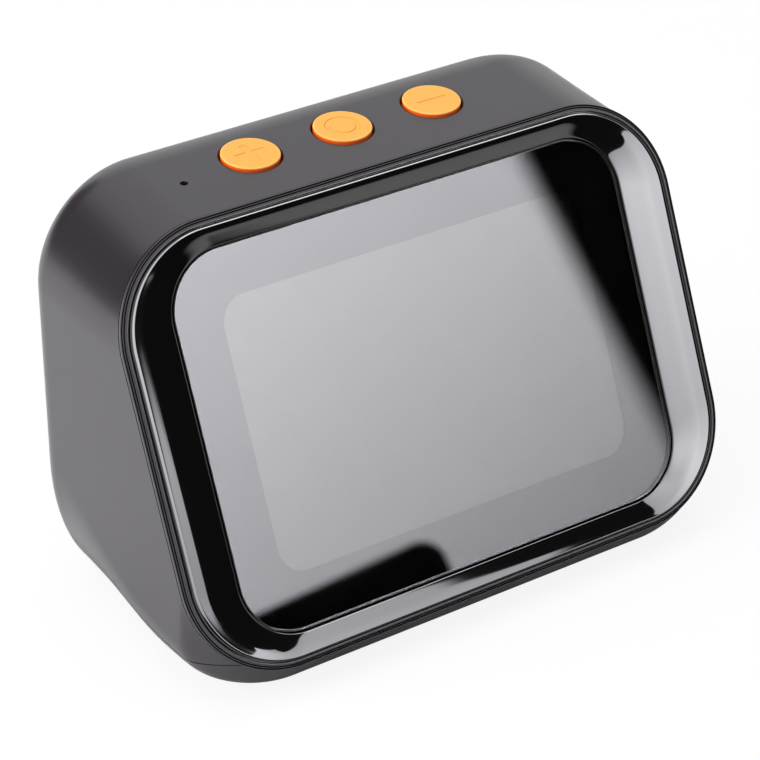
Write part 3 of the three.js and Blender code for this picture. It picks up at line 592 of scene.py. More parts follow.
class Value:
    """One output socket of a shader graph, on which Python's operators add Math nodes."""

    def __init__(self, graph: "Graph", socket: bpy.types.NodeSocket) -> None:
        """Keeps the graph and the socket."""
        self.graph = graph
        self.socket = socket

    def _math(self, operation: str, first: Operand, second: Operand | None = None) -> "Value":
        """Adds one Math node with one or two inputs."""
        inputs = {0: first} if second is None else {0: first, 1: second}
        return self.graph.add("ShaderNodeMath", {"operation": operation}, inputs)["Value"]

    def __add__(self, other: Operand) -> "Value":
        """This plus the other."""
        return self._math("ADD", self, other)

    __radd__ = __add__

    def __sub__(self, other: Operand) -> "Value":
        """This minus the other."""
        return self._math("SUBTRACT", self, other)

    def __rsub__(self, other: Operand) -> "Value":
        """The other minus this."""
        return self._math("SUBTRACT", other, self)

    def __mul__(self, other: Operand) -> "Value":
        """This times the other."""
        return self._math("MULTIPLY", self, other)

    __rmul__ = __mul__

    def __truediv__(self, other: Operand) -> "Value":
        """This divided by the other."""
        return self._math("DIVIDE", self, other)

    def highest(self, other: Operand) -> "Value":
        """The larger of two values."""
        return self._math("MAXIMUM", self, other)

    def lowest(self, other: Operand) -> "Value":
        """The smaller of two values."""
        return self._math("MINIMUM", self, other)

    def length(self, other: "Value") -> "Value":
        """The square root of the two values' squares added up."""
        return self._math("SQRT", self * self + other * other)

    def step(self, low: float, high: float) -> "Value":
        """An eased step from 0 at low to 1 at high."""
        settings = {"interpolation_type": "SMOOTHSTEP"}
        inputs = {"Value": self, "From Min": low, "From Max": high}
        return self.graph.add("ShaderNodeMapRange", settings, inputs)["Result"]


class Made:
    """A node just added, whose outputs are read by name or identifier."""

    def __init__(self, graph: "Graph", node: bpy.types.Node) -> None:
        """Keeps the graph and the node."""
        self.graph = graph
        self.node = node

    def __getitem__(self, name: str) -> Value:
        """The output of that name or identifier."""
        found = [s for s in self.node.outputs if name in (s.identifier, s.name)]
        return Value(self.graph, found[0])


class Graph:
    """A shader tree that is written as expressions."""

    def __init__(self, tree: bpy.types.NodeTree) -> None:
        """Empties the tree."""
        self.tree = tree
        tree.nodes.clear()

    def add(self, kind: str, settings: dict | None = None, inputs: dict | None = None) -> Made:
        """Adds any node.

        Args:
            kind: Blender's node type.
            settings: The node's own properties, set first.
            inputs: Values or links by socket name, identifier or number.

        Returns:
            The node.
        """
        node = self.tree.nodes.new(kind)
        for key, value in (settings or {}).items():
            setattr(node, key, value)
        for key, value in (inputs or {}).items():
            if isinstance(key, int):
                socket = node.inputs[key]
            else:
                socket = next(s for s in node.inputs if key in (s.identifier, s.name))
            if isinstance(value, Value):
                self.tree.links.new(value.socket, socket)
            else:
                socket.default_value = value
        return Made(self, node)

    def blend(self, share: Value, first: "Value | tuple", second: "Value | tuple") -> Value:
        """A colour from first, at share 0, to second, at share 1."""
        inputs = {"Factor_Float": share, "A_Color": first, "B_Color": second}
        return self.add("ShaderNodeMix", {"data_type": "RGBA"}, inputs)["Result_Color"]

    def place(self) -> Value:
        """Object coordinates."""
        return self.add("ShaderNodeTexCoord")["Object"]

    def noise(self, scale: float, detail: float = 3.0, place: Value | None = None) -> Value:
        """Soft noise between 0 and 1 on object coordinates.

        Args:
            scale: Waves in each metre.
            detail: Finer layers.
            place: Coordinates, or None for the object's own.

        Returns:
            The noise.
        """
        inputs = {"Vector": place or self.place(), "Scale": scale, "Detail": detail}
        return self.add("ShaderNodeTexNoise", None, inputs)["Fac"]

    def mix_shaders(self, share: Value, first: Value, second: Value) -> Value:
        """A shader from first, at share 0, to second, at share 1."""
        return self.add("ShaderNodeMixShader", None, {0: share, 1: first, 2: second})["Shader"]

    def glow(self, colour: "Value | tuple", strength: float) -> Value:
        """Light of one colour and strength."""
        return self.add("ShaderNodeEmission", None, {"Color": colour, "Strength": strength})["Emission"]

    def output(self, shader: Value, kind: str = "ShaderNodeOutputMaterial") -> None:
        """Links a shader to the tree's surface."""
        self.add(kind, None, {"Surface": shader})


def new_material(name: str) -> tuple[bpy.types.Material, Graph]:
    """An empty material and its graph.

    Args:
        name: Name of the material.

    Returns:
        The material and the graph.
    """
    material = bpy.data.materials.new(name)
    material.use_nodes = True
    return material, Graph(material.node_tree)


def tone(red: int, green: int, blue: int) -> tuple[float, float, float, float]:
    """A screen colour of three numbers up to 255 as linear light.

    Args:
        red: Red.
        green: Green.
        blue: Blue.

    Returns:
        Linear red, green, blue and an alpha of 1.
    """
    share = np.array([red, green, blue]) / 255.0
    linear = np.where(share <= 0.04045, share / 12.92, ((share + 0.055) / 1.055) ** 2.4)
    return (*(float(c) for c in linear), 1.0)


@dataclass(frozen=True)
class Accent:
    """A second colour that follows a point attribute of the mesh."""

    attribute: str
    colour: tuple[int, int, int]


@dataclass(frozen=True)
class Finish:
    """A surface whose tone and roughness wander a little, with a fine moulded or worn grain."""

    name: str
    light: tuple[int, int, int]
    dark: tuple[int, int, int]
    roughness: float
    wander: float = 0.06
    patch_scale: float = 60.0
    grain_scale: float = 2500.0
    grain: float = 0.05
    grain_depth: float = 0.00003
    patch_detail: float = 4.0
    grain_detail: float = 2.0
    patch_part: float = 0.6
    grain_part: float = 0.4
    metallic: float = 0.0
    coat: float = 0.0
    coat_roughness: float = 0.03
    ior: float = 1.5
    transmission: float = 0.0
    specular: float = 0.5
    specular_tint: tuple[int, int, int] = (255, 255, 255)
    accents: tuple[Accent, ...] = ()

    def build(self) -> bpy.types.Material:
        """Makes the material.

        Returns:
            The material.
        """
        material, graph = new_material(self.name)
        place = graph.place()
        patches = graph.noise(self.patch_scale, self.patch_detail, place)
        grain = graph.noise(self.grain_scale, self.grain_detail, place)
        both = patches * self.patch_part + grain * self.grain_part
        colour = graph.blend(both, tone(*self.dark), tone(*self.light))
        for accent in self.accents:
            found = graph.add("ShaderNodeAttribute", {"attribute_name": accent.attribute})
            colour = graph.blend(found["Fac"], colour, tone(*accent.colour))
        rough = (patches - 0.5) * self.wander + self.roughness
        bump = graph.add(
            "ShaderNodeBump", None,
            {"Strength": self.grain, "Distance": self.grain_depth, "Height": grain},
        )["Normal"]
        shader = graph.add("ShaderNodeBsdfPrincipled", None, {
            "Base Color": colour,
            "Roughness": rough,
            "Metallic": self.metallic,
            "IOR": self.ior,
            "Specular IOR Level": self.specular,
            "Specular Tint": tone(*self.specular_tint),
            "Coat Weight": self.coat,
            "Coat Roughness": self.coat_roughness,
            "Transmission Weight": self.transmission,
            "Normal": bump,
        })["BSDF"]
        graph.output(shader)
        return material


FINISHES: dict[str, Finish] = {
    "housing_plastic": Finish(
        "satin_charcoal", (42, 38, 43), (39, 35, 40), 0.30, wander=0.04, grain_scale=4200.0, grain=0.08,
        ior=1.61,
    ),
    "gloss_black": Finish(
        "gloss_black", (17, 17, 18), (14, 14, 15), 0.03, wander=0.01, grain=0.0, coat=1.0,
    ),
    "cover_glass": Finish(
        "clear_glass", (236, 238, 240), (228, 231, 234), 0.012, wander=0.01, grain=0.0, transmission=1.0,
    ),
    "display": Finish(
        "display_film", (8, 8, 8), (6, 6, 6), 0.03, wander=0.01, grain=0.0, specular=0.27,
        specular_tint=(255, 247, 217),
    ),
    "white_plastic": Finish("white_plastic", (226, 226, 222), (208, 208, 204), 0.5),
    "carrier_plastic": Finish("carrier_plastic", (46, 46, 48), (34, 34, 36), 0.6),
    "circuit_board": Finish("circuit_board", (34, 96, 62), (22, 74, 46), 0.42, patch_scale=420.0),
    "black_plastic": Finish("black_plastic", (34, 34, 36), (24, 24, 26), 0.5),
    "orange_plastic": Finish(
        "orange_plastic", (245, 173, 80), (239, 167, 74), 0.42, wander=0.05, grain_scale=3500.0, grain=0.06,
        specular=0.25, accents=(
            # Painted light on the caps: a deeper red-orange down the side wall is painted shade and bounced
            # light, a pale rim is a painted highlight, and a darker line along the sign's edges is painted
            # shade.
            Accent("wall", (246, 96, 26)), Accent("edge", (251, 186, 98)), Accent("mark", (214, 142, 52)),
        ),
    ),
    "plated_steel": Finish("plated_steel", (196, 198, 202), (170, 172, 176), 0.32, metallic=1.0),
    "screw_steel": Finish("screw_steel", (112, 116, 120), (84, 88, 92), 0.38, metallic=1.0),
    "ferrite": Finish("ferrite", (52, 52, 56), (34, 34, 38), 0.7, grain=0.2),
    "cone_paper": Finish("cone_paper", (40, 40, 42), (26, 26, 28), 0.85, grain=0.3, grain_scale=1500.0),
    "spider_cloth": Finish("spider_cloth", (205, 152, 70), (176, 122, 48), 0.85, grain=0.4),
    "rubber": Finish("rubber", (38, 38, 39), (26, 26, 27), 0.8, grain=0.2),
    "coil_copper": Finish("coil_copper", (214, 138, 84), (176, 104, 56), 0.35, metallic=1.0),
    "flex_film": Finish("flex_film", (204, 144, 58), (176, 116, 40), 0.4),
    "lead_sleeve": Finish("lead_sleeve", (36, 36, 37), (24, 24, 25), 0.6),
}
# Black print on the glass; the same matt black also paints shade into the frame ring's grooves.
PRINT_AND_GROOVE_SHADE = Finish("black_print_and_groove_shade", (11, 11, 11), (8, 8, 8), 0.6, grain=0.0, specular=0.0)


class Wardrobe:
    """Makes each finish once and puts it on pieces."""

    def __init__(self) -> None:
        """Starts with no finish made."""
        self.made: dict[str, bpy.types.Material] = {}

    def material(self, finish: Finish) -> bpy.types.Material:
        """The finish's material, made at its first use.

        Args:
            finish: The finish.

        Returns:
            The material.
        """
        if finish.name not in self.made:
            self.made[finish.name] = finish.build()
        return self.made[finish.name]

    def dress(self, target: bpy.types.Object, finish: Finish) -> None:
        """Gives an object one finish.

        Args:
            target: The object.
            finish: The finish.
        """
        target.data.materials.clear()
        target.data.materials.append(self.material(finish))

    def second(self, target: bpy.types.Object, finish: Finish, chosen: np.ndarray) -> None:
        """Gives a second finish to some faces of an object.

        Args:
            target: The object, already dressed.
            finish: The second finish.
            chosen: For each face, whether it gets that finish.
        """
        target.data.materials.append(self.material(finish))
        target.data.polygons.foreach_set("material_index", chosen.astype(np.int32))

    def piece(self, target: bpy.types.Object, slot: str, *nodes: str, body: str = CLOCK_BODY) -> None:
        """Dresses a new piece from a slot of the record and lets it stand for CAD nodes on a body.

        Args:
            target: The piece.
            slot: Name of the record's slot.
            nodes: CAD nodes that the piece stands for.
            body: The body that it rides on.
        """
        self.dress(target, FINISHES[slot])
        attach(target, body)
        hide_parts(*nodes)
        log.info("%s: %d faces", target.name, len(target.data.polygons))


@dataclass
class Housing:
    """Shell and base cover: the fine loft, hollowed and cut on the same lines as the CAD pieces."""

    form: HousingForm
    places: Places
    joint_gap: float = 0.2
    fit: float = 0.3
    screw_hole: float = 1.45
    cap_hole: float = 5.5
    hole_chamfer: float = 0.22
    chamfer_share: float = 0.06
    mouth: float = 0.01
    overshoot: float = 2.0
    microphone: tuple[float, float, float] = (-33.2, -2.2, 0.7)
    speaker_height: float = 1.5
    slot_width: float = 2.2
    slot_pitch: float = 4.1
    slot_count: int = 9
    slot_field: float = 18.4
    slot_chamfer: float = 0.35
    slot_mouth: float = 0.02
    inlet: tuple[float, float, float] = (-27.0, 11.4, 5.4)
    boss_radius: float = 3.0
    boss_length: float = 3.6
    boss_spread: float = 16.6
    post_radius: float = 2.6
    post_reach: float = 28.55
    post_y: float = 4.2
    post_length: float = 9.6
    column_radius: float = 3.5
    column_top: float = 13.0
    column_pad: float = 1.6
    rib: float = 2.0
    rib_stop: float = 0.85
    rib_below: float = 0.02
    screw_rows: tuple[tuple[float, float], ...] = ((41.0, 6.5), (36.0, 27.5))
    head_sink: tuple[float, float] = (2.65, 2.0)
    sink_chamfer: float = 0.2
    foot_bed: float = 1.0
    hole_past: float = 1.0
    socket_posts: tuple[float, float, float] = (8.6, 34.7, 2.6)
    socket_post_top: float = -30.45
    edge_round: float = 0.07
    edge_angle_deg: float = 40.0
    boss_sides: int = 40
    bore_sides: int = 20
    hole_sides: int = 96
    sink_sides: int = 48
    slot_steps: tuple[int, int] = (12, 2)
    bed_steps: tuple[int, int] = (16, 4)

    def build(self, wardrobe: Wardrobe) -> None:
        """Makes the shell and the base cover.

        Args:
            wardrobe: Puts the finish on.
        """
        form = self.form
        far = 3 * form.width
        cut = form.parting
        shell = self._hollow("housing_shell")
        below = block("below", (-far, -far, cut - far), (far, far, cut), self.places)
        combine(shell, Join.CUT, [below])
        self._ease(shell)
        combine(shell, Join.ADD, self._shell_bosses())
        combine(shell, Join.CUT, self._shell_openings())
        shade(shell)
        wardrobe.piece(shell, "housing_plastic", "rear_shell")

        base = self._hollow("housing_base")
        cut -= self.joint_gap
        above = block("above", (-far, -far, cut), (far, far, cut + far), self.places)
        combine(base, Join.CUT, [above])
        self._ease(base)
        combine(base, Join.ADD, self._base_posts())
        combine(base, Join.CUT, self._base_sinks())
        shade(base)
        wardrobe.piece(base, "housing_plastic", "base_cover")

    def _hollow(self, name: str) -> bpy.types.Object:
        """The outer loft less the same loft drawn in by the wall."""
        form = self.form
        outer = mesh_object(name, self.places.world(form.loft()))
        inner = mesh_object("hollow", self.places.world(form.loft(form.wall, form.chin_wall, form.wall)))
        combine(outer, Join.CUT, [inner])
        return outer

    def _ease(self, target: bpy.types.Object) -> None:
        """Rounds the sharp edges a little."""
        edge = target.modifiers.new("edge", "BEVEL")
        edge.width = self.edge_round * MM
        edge.segments = 2
        edge.limit_method = "ANGLE"
        edge.angle_limit = math.radians(self.edge_angle_deg)
        edge.use_clamp_overlap = True
        bake(target)

    def _bar(
        self, radius: float, low: float, high: float, place: tuple[float, float], sides: int,
    ) -> np.ndarray:
        """A round bar along Z between two heights, at x and y."""
        return shifted(turned([(radius, low), (radius, high)], sides), *place)

    def _rear_bar(self, radius: float, low: float, high: float, place: tuple[float, float]) -> np.ndarray:
        """A round bar along Y, measured from the rear wall's inner face, at x and z."""
        bar = self._bar(radius, low, high, (0, 0), self.boss_sides)
        inside = self.form.rear - self.form.wall
        return np.stack([bar[..., 0] + place[0], inside + bar[..., 2], bar[..., 1] + place[1]], axis=-1)

    def _tool(self, grid: np.ndarray) -> bpy.types.Object:
        """A body that is added or cut."""
        return mesh_object("tool", self.places.world(grid))

    def _speaker_places(self, side: int) -> list[tuple[float, float]]:
        """Where the two loudspeaker bosses of one side are, across and up."""
        spread = self.boss_spread
        return [(side * spread, self.speaker_height + level * spread) for level in SIDES]

    def _screw_places(self) -> list[tuple[float, float]]:
        """Where the base screws are."""
        return [(side * x, y) for x, y in self.screw_rows for side in SIDES]

    def _socket_places(self) -> list[tuple[float, float]]:
        """Where the inlet board's posts are."""
        x, y, _ = self.socket_posts
        return [(side * x, y) for side in SIDES]

    def _shell_bosses(self) -> list[bpy.types.Object]:
        """Posts under the top, bosses on the rear wall, and columns with ribs at the sides."""
        form = self.form
        tools = []
        for side in SIDES:
            place = (side * self.post_reach, self.post_y)
            post = self._bar(self.post_radius, -self.post_length, -form.wall / 2, place, self.boss_sides)
            tools.append(self._tool(self.places.top(post)))
            for place in self._speaker_places(side):
                boss = self._rear_bar(self.boss_radius, -self.boss_length, form.wall / 2, place)
                tools.append(self._tool(boss))
        low = form.floor + form.wall + self.column_pad + self.fit
        high = low + self.column_top
        rib_low = form.parting + form.wall + self.fit
        for x, y in self._screw_places():
            tools.append(self._tool(self._bar(self.column_radius, low, high, (x, y), self.boss_sides)))
            wall_x = math.copysign(form.half - self.rib_stop * form.wall, x)
            near = (min(x, wall_x), y - self.rib / 2, rib_low)
            far = (max(x, wall_x), y + self.rib / 2, high - self.rib_below)
            tools.append(block("rib", near, far, self.places))
        return tools

    def _slot(self, width: float, tall: float, x: float, z: float) -> bpy.types.Object:
        """A rounded slot through the rear wall whose mouth widens by a small chamfer."""
        form = self.form
        inside, outside = form.rear - 2 * form.wall, form.rear
        chamfer = self.slot_chamfer
        stations = (
            (inside, 0.0), (outside - chamfer, 0.0), (outside + self.slot_mouth, chamfer),
            (outside + self.overshoot, chamfer),
        )
        depth, grow = np.array(stations).T[:, :, None]
        half, high = width / 2 + grow, tall / 2 + grow
        radius = np.minimum(half, high)
        flat = outline(half, high, (radius, radius), (radius, radius), *self.slot_steps)
        y = np.broadcast_to(depth, flat.shape[:2])
        return self._tool(np.stack([flat[..., 0] + x, y, flat[..., 1] + z], axis=-1))

    def _shell_openings(self) -> list[bpy.types.Object]:
        """Holes for caps and microphone, grille slots, the inlet and the screws' bores."""
        form = self.form
        tools = []
        holes = [(step * form.button_pitch, 0.0, self.cap_hole) for step in (-1, 0, 1)]
        for x, y, radius in [*holes, self.microphone]:
            chamfer = min(self.hole_chamfer, self.chamfer_share * radius)
            profile = [
                (radius, -2 * form.wall), (radius, -chamfer), (radius + chamfer, self.mouth),
                (radius + chamfer, self.overshoot),
            ]
            tools.append(self._tool(self.places.top(shifted(turned(profile, self.hole_sides), x, y))))
        middle = (self.slot_count - 1) / 2
        for step in range(self.slot_count):
            x = (step - middle) * self.slot_pitch
            tall = 2 * math.sqrt(self.slot_field**2 - x**2)
            tools.append(self._slot(self.slot_width, tall, x, self.speaker_height))
        height, width, tall = self.inlet
        tools.append(self._slot(width, tall, 0, height))
        for side in SIDES:
            low, high = -self.post_length - self.hole_past, -form.wall - self.fit
            place = (side * self.post_reach, self.post_y)
            hole = self._bar(self.screw_hole, low, high, place, self.bore_sides)
            tools.append(self._tool(self.places.top(hole)))
            for place in self._speaker_places(side):
                hole = self._rear_bar(self.screw_hole, -self.boss_length - self.hole_past, -self.fit, place)
                tools.append(self._tool(hole))
        low = form.floor + form.wall
        high = low + self.column_pad + self.column_top - form.wall
        for place in self._screw_places():
            tools.append(self._tool(self._bar(self.screw_hole, low, high, place, self.bore_sides)))
        return tools

    def _base_posts(self) -> list[bpy.types.Object]:
        """Pads under the columns and posts for the inlet's board."""
        form = self.form
        root = form.floor + form.wall / 2
        top = form.floor + form.wall + self.column_pad
        pad, post = self.column_radius + form.wall / 2, self.socket_posts[2]
        bars = [self._bar(pad, root, top, place, self.boss_sides) for place in self._screw_places()]
        for place in self._socket_places():
            bars.append(self._bar(post, root, self.socket_post_top, place, self.boss_sides))
        return [self._tool(bar) for bar in bars]

    def _base_sinks(self) -> list[bpy.types.Object]:
        """Sinks for the screw heads, bores of the posts and beds of the feet."""
        form = self.form
        under = form.floor - form.wall
        radius, deep = self.head_sink
        wide = radius + self.sink_chamfer
        profile = [
            (wide, under), (wide, form.floor - self.mouth), (radius, form.floor + self.sink_chamfer),
            (radius, form.floor + deep), (self.screw_hole, form.floor + deep + self.mouth),
            (self.screw_hole, form.floor + 2 * form.wall),
        ]
        tools = [
            self._tool(shifted(turned(profile, self.sink_sides), *place)) for place in self._screw_places()
        ]
        low, high = form.floor + form.wall, self.socket_post_top + self.hole_past
        for place in self._socket_places():
            tools.append(self._tool(self._bar(self.screw_hole, low, high, place, self.bore_sides)))
        for _, y, width in form.feet:
            half, tall = width / 2 + self.fit, form.foot_depth / 2 + self.fit
            column = np.array([[half], [half]])
            flat = outline(column, column * 0 + tall, (tall, tall), (tall, tall), *self.bed_steps)
            height = np.array([[under], [form.floor + self.foot_bed]])
            tools.append(self._tool(lifted(flat, height, y)))
        return tools


@dataclass
class Front:
    """The leaning front: frame ring, gloss bezel, glass and the black print behind its edge."""

    form: HousingForm
    places: Places
    band: float = 1.3
    joint: float = 0.2
    window: tuple[float, float, float] = (46.0, 33.8, 11.0)
    ledge: float = 2.0
    ledge_back: float = 3.15
    plug: float = 3.8
    fit: float = 0.3
    glass_depth: float = 0.85
    glass_thickness: float = 1.1
    glass_edge: float = 0.15
    screen: tuple[float, float, float] = (36.8, 24.4, 5.0)
    screen_up: float = 0.37
    print_gap: float = 0.04
    print_thickness: float = 0.08
    corner_steps: int = 40
    edge_steps: int = 24
    glass_steps: int = 7
    bezel_soft: float = 0.35
    bezel_steps: int = 7
    frame_profile: tuple[tuple[float, float], ...] = (
        (0.0, 1.18), (0.0, 0.62), (0.12, 0.50), (0.13, 1.05), (0.32, 1.05), (0.33, 0.54),
        (0.49, 0.40), (0.50, 1.05), (0.69, 1.05), (0.70, 0.36), (0.84, 0.20), (1.02, 0.08), (1.14, 0.08),
        (1.30, 0.20), (1.30, 1.0), (3.50, 1.0), (3.50, 8.0), (2.60, 8.0), (2.60, 1.25),
    )
    frame_round: float = 0.03
    round_steps: int = 4
    groove_corners: tuple[tuple[int, int], ...] = ((2, 5), (6, 9))
    bezel_profile: tuple[tuple[float, float], ...] = (
        (0.0, 0.7), (0.0, 0.15), (0.025, -0.065), (0.085, -0.08), (0.12, -0.05), (0.37, 0.14), (0.95, 0.80),
        (1.0, 0.90), (1.0, 2.25),
    )

    def build(self, wardrobe: Wardrobe) -> None:
        """Makes the front's pieces.

        Args:
            wardrobe: Puts the finishes on.
        """
        profile = soften(self.frame_profile, self.frame_round, self.round_steps)
        ring = self._body("frame_ring", self._rim(profile), closed=True)
        shade(ring)
        wardrobe.piece(ring, "housing_plastic", "front_frame")
        # Painted shade: the faces inside the frame's two grooves get the matt black in place of the shade
        # that falls in them.
        wardrobe.second(ring, PRINT_AND_GROOVE_SHADE, self._in_grooves(len(profile), len(ring.data.polygons)))

        bezel = self._body("bezel_ring", self._bezel(), closed=True)
        shade(bezel)
        wardrobe.piece(bezel, "gloss_black", "gloss_bezel")

        glass = self._body("glass_pane", self._glass())
        shade(glass)
        wardrobe.piece(glass, "cover_glass", "cover_glass")
        narrow = np.array([len(face.vertices) == 4 for face in glass.data.polygons])
        wardrobe.second(glass, FINISHES["gloss_black"], narrow)

        mask = self._body("glass_print", self._print(), closed=True)
        shade(mask)
        wardrobe.dress(mask, PRINT_AND_GROOVE_SHADE)
        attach(mask, CLOCK_BODY)
        log.info("%s: %d faces", mask.name, len(mask.data.polygons))

    def _body(self, name: str, grid: np.ndarray, closed: bool = False) -> bpy.types.Object:
        """A body given in the leaning front's own directions."""
        return mesh_object(name, self.places.world(self.places.front(grid)), closed)

    def _rings(
        self, half: np.ndarray, tall: np.ndarray, radius: np.ndarray, depth: np.ndarray,
    ) -> np.ndarray:
        """Rounded rectangles of given half width, half height and corner, each at its depth."""
        columns = [np.asarray(value, float)[:, None] for value in (half, tall, radius, depth)]
        half, tall, radius, depth = columns
        steps = self.corner_steps, self.edge_steps
        flat = outline(half, tall, (radius, radius), (radius, radius), *steps)
        level = np.broadcast_to(depth, flat.shape[:2])
        return np.stack([flat[..., 0], level, flat[..., 1]], axis=-1)

    def _rim(self, profile: np.ndarray) -> np.ndarray:
        """The outer outline drawn in by each profile point's offset, at its depth."""
        offset, depth = profile.T
        form = self.form
        return self._rings(form.half - offset, form.tall - offset, form.corner - offset, depth)

    def _in_grooves(self, rows: int, faces: int) -> np.ndarray:
        """Whether each face of the ring lies in a groove, between the corners at its two mouths; these
        faces get the matt black as painted shade.
        """
        row = np.arange(rows)
        inside = np.zeros(rows, bool)
        for first, last in self.groove_corners:
            inside |= (row >= (first + 1) * self.round_steps - 1) & (row < last * self.round_steps)
        return np.repeat(inside, faces // rows)

    def _bezel(self) -> np.ndarray:
        """Outlines blended from the frame's inner edge, at share 0, to the window, at share 1."""
        share, depth = np.array(self.bezel_profile).T
        form = self.form
        edge = self.band + self.joint
        half, tall, radius = (
            mix(outer - edge, inner, share)
            for outer, inner in zip((form.half, form.tall, form.corner), self.window)
        )
        ledge = [size - self.ledge for size in self.window]
        half = np.concatenate([half, [ledge[0]] * 2, [form.half - self.plug] * 2])
        tall = np.concatenate([tall, [ledge[1]] * 2, [form.tall - self.plug] * 2])
        radius = np.concatenate([radius, [ledge[2]] * 2, [form.corner - self.plug] * 2])
        depth = np.concatenate([depth, [depth[-1], self.ledge_back, self.ledge_back, depth[0]]])
        table = np.stack([half, tall, radius, depth], axis=-1)
        return self._rings(*soften_table(table, self.bezel_soft, self.bezel_steps).T)

    def _glass(self) -> np.ndarray:
        """A flat pane with a rounded front edge: a quarter round of the edge's radius, then straight."""
        half, tall, radius = (size - self.fit for size in self.window)
        angle = np.linspace(0, math.pi / 2, self.glass_steps)
        inset = np.append(self.glass_edge * (1 - np.sin(angle)), 0.0)
        depth = np.append(self.glass_edge * (1 - np.cos(angle)), self.glass_thickness) + self.glass_depth
        return self._rings(half - inset, tall - inset, radius - inset, depth)

    def _print(self) -> np.ndarray:
        """A thin flat ring between the glass edge and the shown part of the display."""
        front = self.glass_depth + self.glass_thickness + self.print_gap
        back = front + self.print_thickness
        outer = np.array([size - 2 * self.fit for size in self.window])
        inner = np.array(self.screen)
        sizes = np.array([outer, inner, inner, outer])
        grid = self._rings(*sizes.T, np.array([front, front, back, back]))
        grid[1:3, :, 2] += self.screen_up
        return grid


SIGN_ARM = 2.9
PLUS_HALF = 0.6
MINUS_HALF = 0.28
RING_RADIUS = 2.7
RING_HALF = 0.45


class Sign(Enum):
    """Sign pressed into a button's top."""

    PLUS = "plus"
    ROUND = "round"
    MINUS = "minus"

    def distance(self, x: np.ndarray, y: np.ndarray) -> np.ndarray:
        """Distance in millimetres to the sign, below 0 inside it.

        Args:
            x: Across the button.
            y: Along the button.

        Returns:
            The distances.
        """
        if self is Sign.ROUND:
            return np.abs(np.hypot(x, y) - RING_RADIUS) - RING_HALF
        thick = PLUS_HALF if self is Sign.PLUS else MINUS_HALF
        level = np.maximum(np.abs(x) - SIGN_ARM, np.abs(y) - thick)
        if self is Sign.MINUS:
            return level
        return np.minimum(level, np.maximum(np.abs(y) - SIGN_ARM, np.abs(x) - thick))


@dataclass
class Buttons:
    """Three round orange caps with shallow signs."""

    form: HousingForm
    places: Places
    radius: float = 5.2
    proud: float = 0.55
    rim: float = 0.2
    stem: float = 2.2
    stem_end: float = -4.8
    flange: float = 6.1
    flange_top: float = -2.65
    flange_bottom: float = -3.55
    sign_depth: float = 0.10
    sign_edge: float = 0.08
    painted_sign_shade_width: float = 0.11
    wall_low: float = -0.4
    wall_shade_start: float = 0.6
    glint_inset: float = 0.12
    glint_width: float = 0.28
    top_slack: float = 0.01
    sides: int = 320
    rings: int = 110
    edge_steps: int = 10
    wall_steps: int = 7

    def build(self, wardrobe: Wardrobe) -> None:
        """Makes the caps.

        Args:
            wardrobe: Puts the finish on.
        """
        for step, sign in zip((-1, 0, 1), Sign):
            grid = self._cap(sign)
            placed = self.places.top(shifted(grid, step * self.form.button_pitch, 0))
            cap = mesh_object(f"{sign.value}_cap", self.places.world(placed))
            self._painted_shade_and_highlight(cap, sign, grid)
            shade(cap)
            wardrobe.piece(cap, "orange_plastic", f"{sign.value}_button", body=f"{sign.value}_key")

    def _cap(self, sign: Sign) -> np.ndarray:
        """A turned cap whose flat top sinks by an eased step where the sign's distance falls below 0."""
        angle = np.linspace(0, math.pi / 2, self.edge_steps)
        edge_radius = self.radius - self.rim * (1 - np.cos(angle))
        edge_height = self.proud - self.rim * (1 - np.sin(angle))
        inner = np.linspace(self.radius - self.rim, AXIS_RADIUS, self.rings)[1:]
        wall = np.linspace(self.wall_low, self.proud - self.rim, self.wall_steps)[:-1]
        lower = [
            (AXIS_RADIUS, self.stem_end), (self.stem, self.stem_end), (self.stem, self.flange_bottom),
            (self.flange, self.flange_bottom), (self.flange, self.flange_top),
            (self.radius, self.flange_top), *((self.radius, level) for level in wall),
        ]
        profile = np.vstack([
            np.array(lower), np.stack([edge_radius, edge_height], axis=-1),
            np.stack([inner, np.full_like(inner, self.proud)], axis=-1),
        ])
        grid = turned(profile, self.sides)
        sunk = smooth(0.5 - sign.distance(grid[..., 0], grid[..., 1]) / self.sign_edge)
        on_top = grid[..., 2] > self.proud - self.top_slack
        grid[..., 2] -= np.where(on_top, sunk * self.sign_depth, 0.0)
        return grid

    def _painted_shade_and_highlight(self, cap: bpy.types.Object, sign: Sign, grid: np.ndarray) -> None:
        """Stores how near each point is to the sign's edge and the rim, and how far down the wall, as masks
        of painted shade along the sign, a painted highlight on the rim and painted shade down the wall.
        """
        x, y, z = np.moveaxis(grid, -1, 0)
        out = np.hypot(x, y)
        on_top = out < self.radius - self.rim
        # glint masks the painted highlight along the rim; near masks the painted shade along the sign's
        # edges.
        glint = np.hypot(out - self.radius + self.glint_inset, z - self.proud) / self.glint_width
        near = smooth(1 - np.abs(sign.distance(x, y)) / self.painted_sign_shade_width)
        fields = {
            "mark": np.where(on_top & (z > 0), near, 0.0),
            # Painted shade and bounced light: a deeper red-orange lower down the side wall.
            "wall": np.where(on_top, 0.0, smooth((self.proud - z) / self.rim - self.wall_shade_start)),
            "edge": smooth(1 - glint),
        }
        for name, field in fields.items():
            layer = cap.data.attributes.new(name, "FLOAT", "POINT")
            layer.data.foreach_set("value", field.ravel().astype(np.float32))


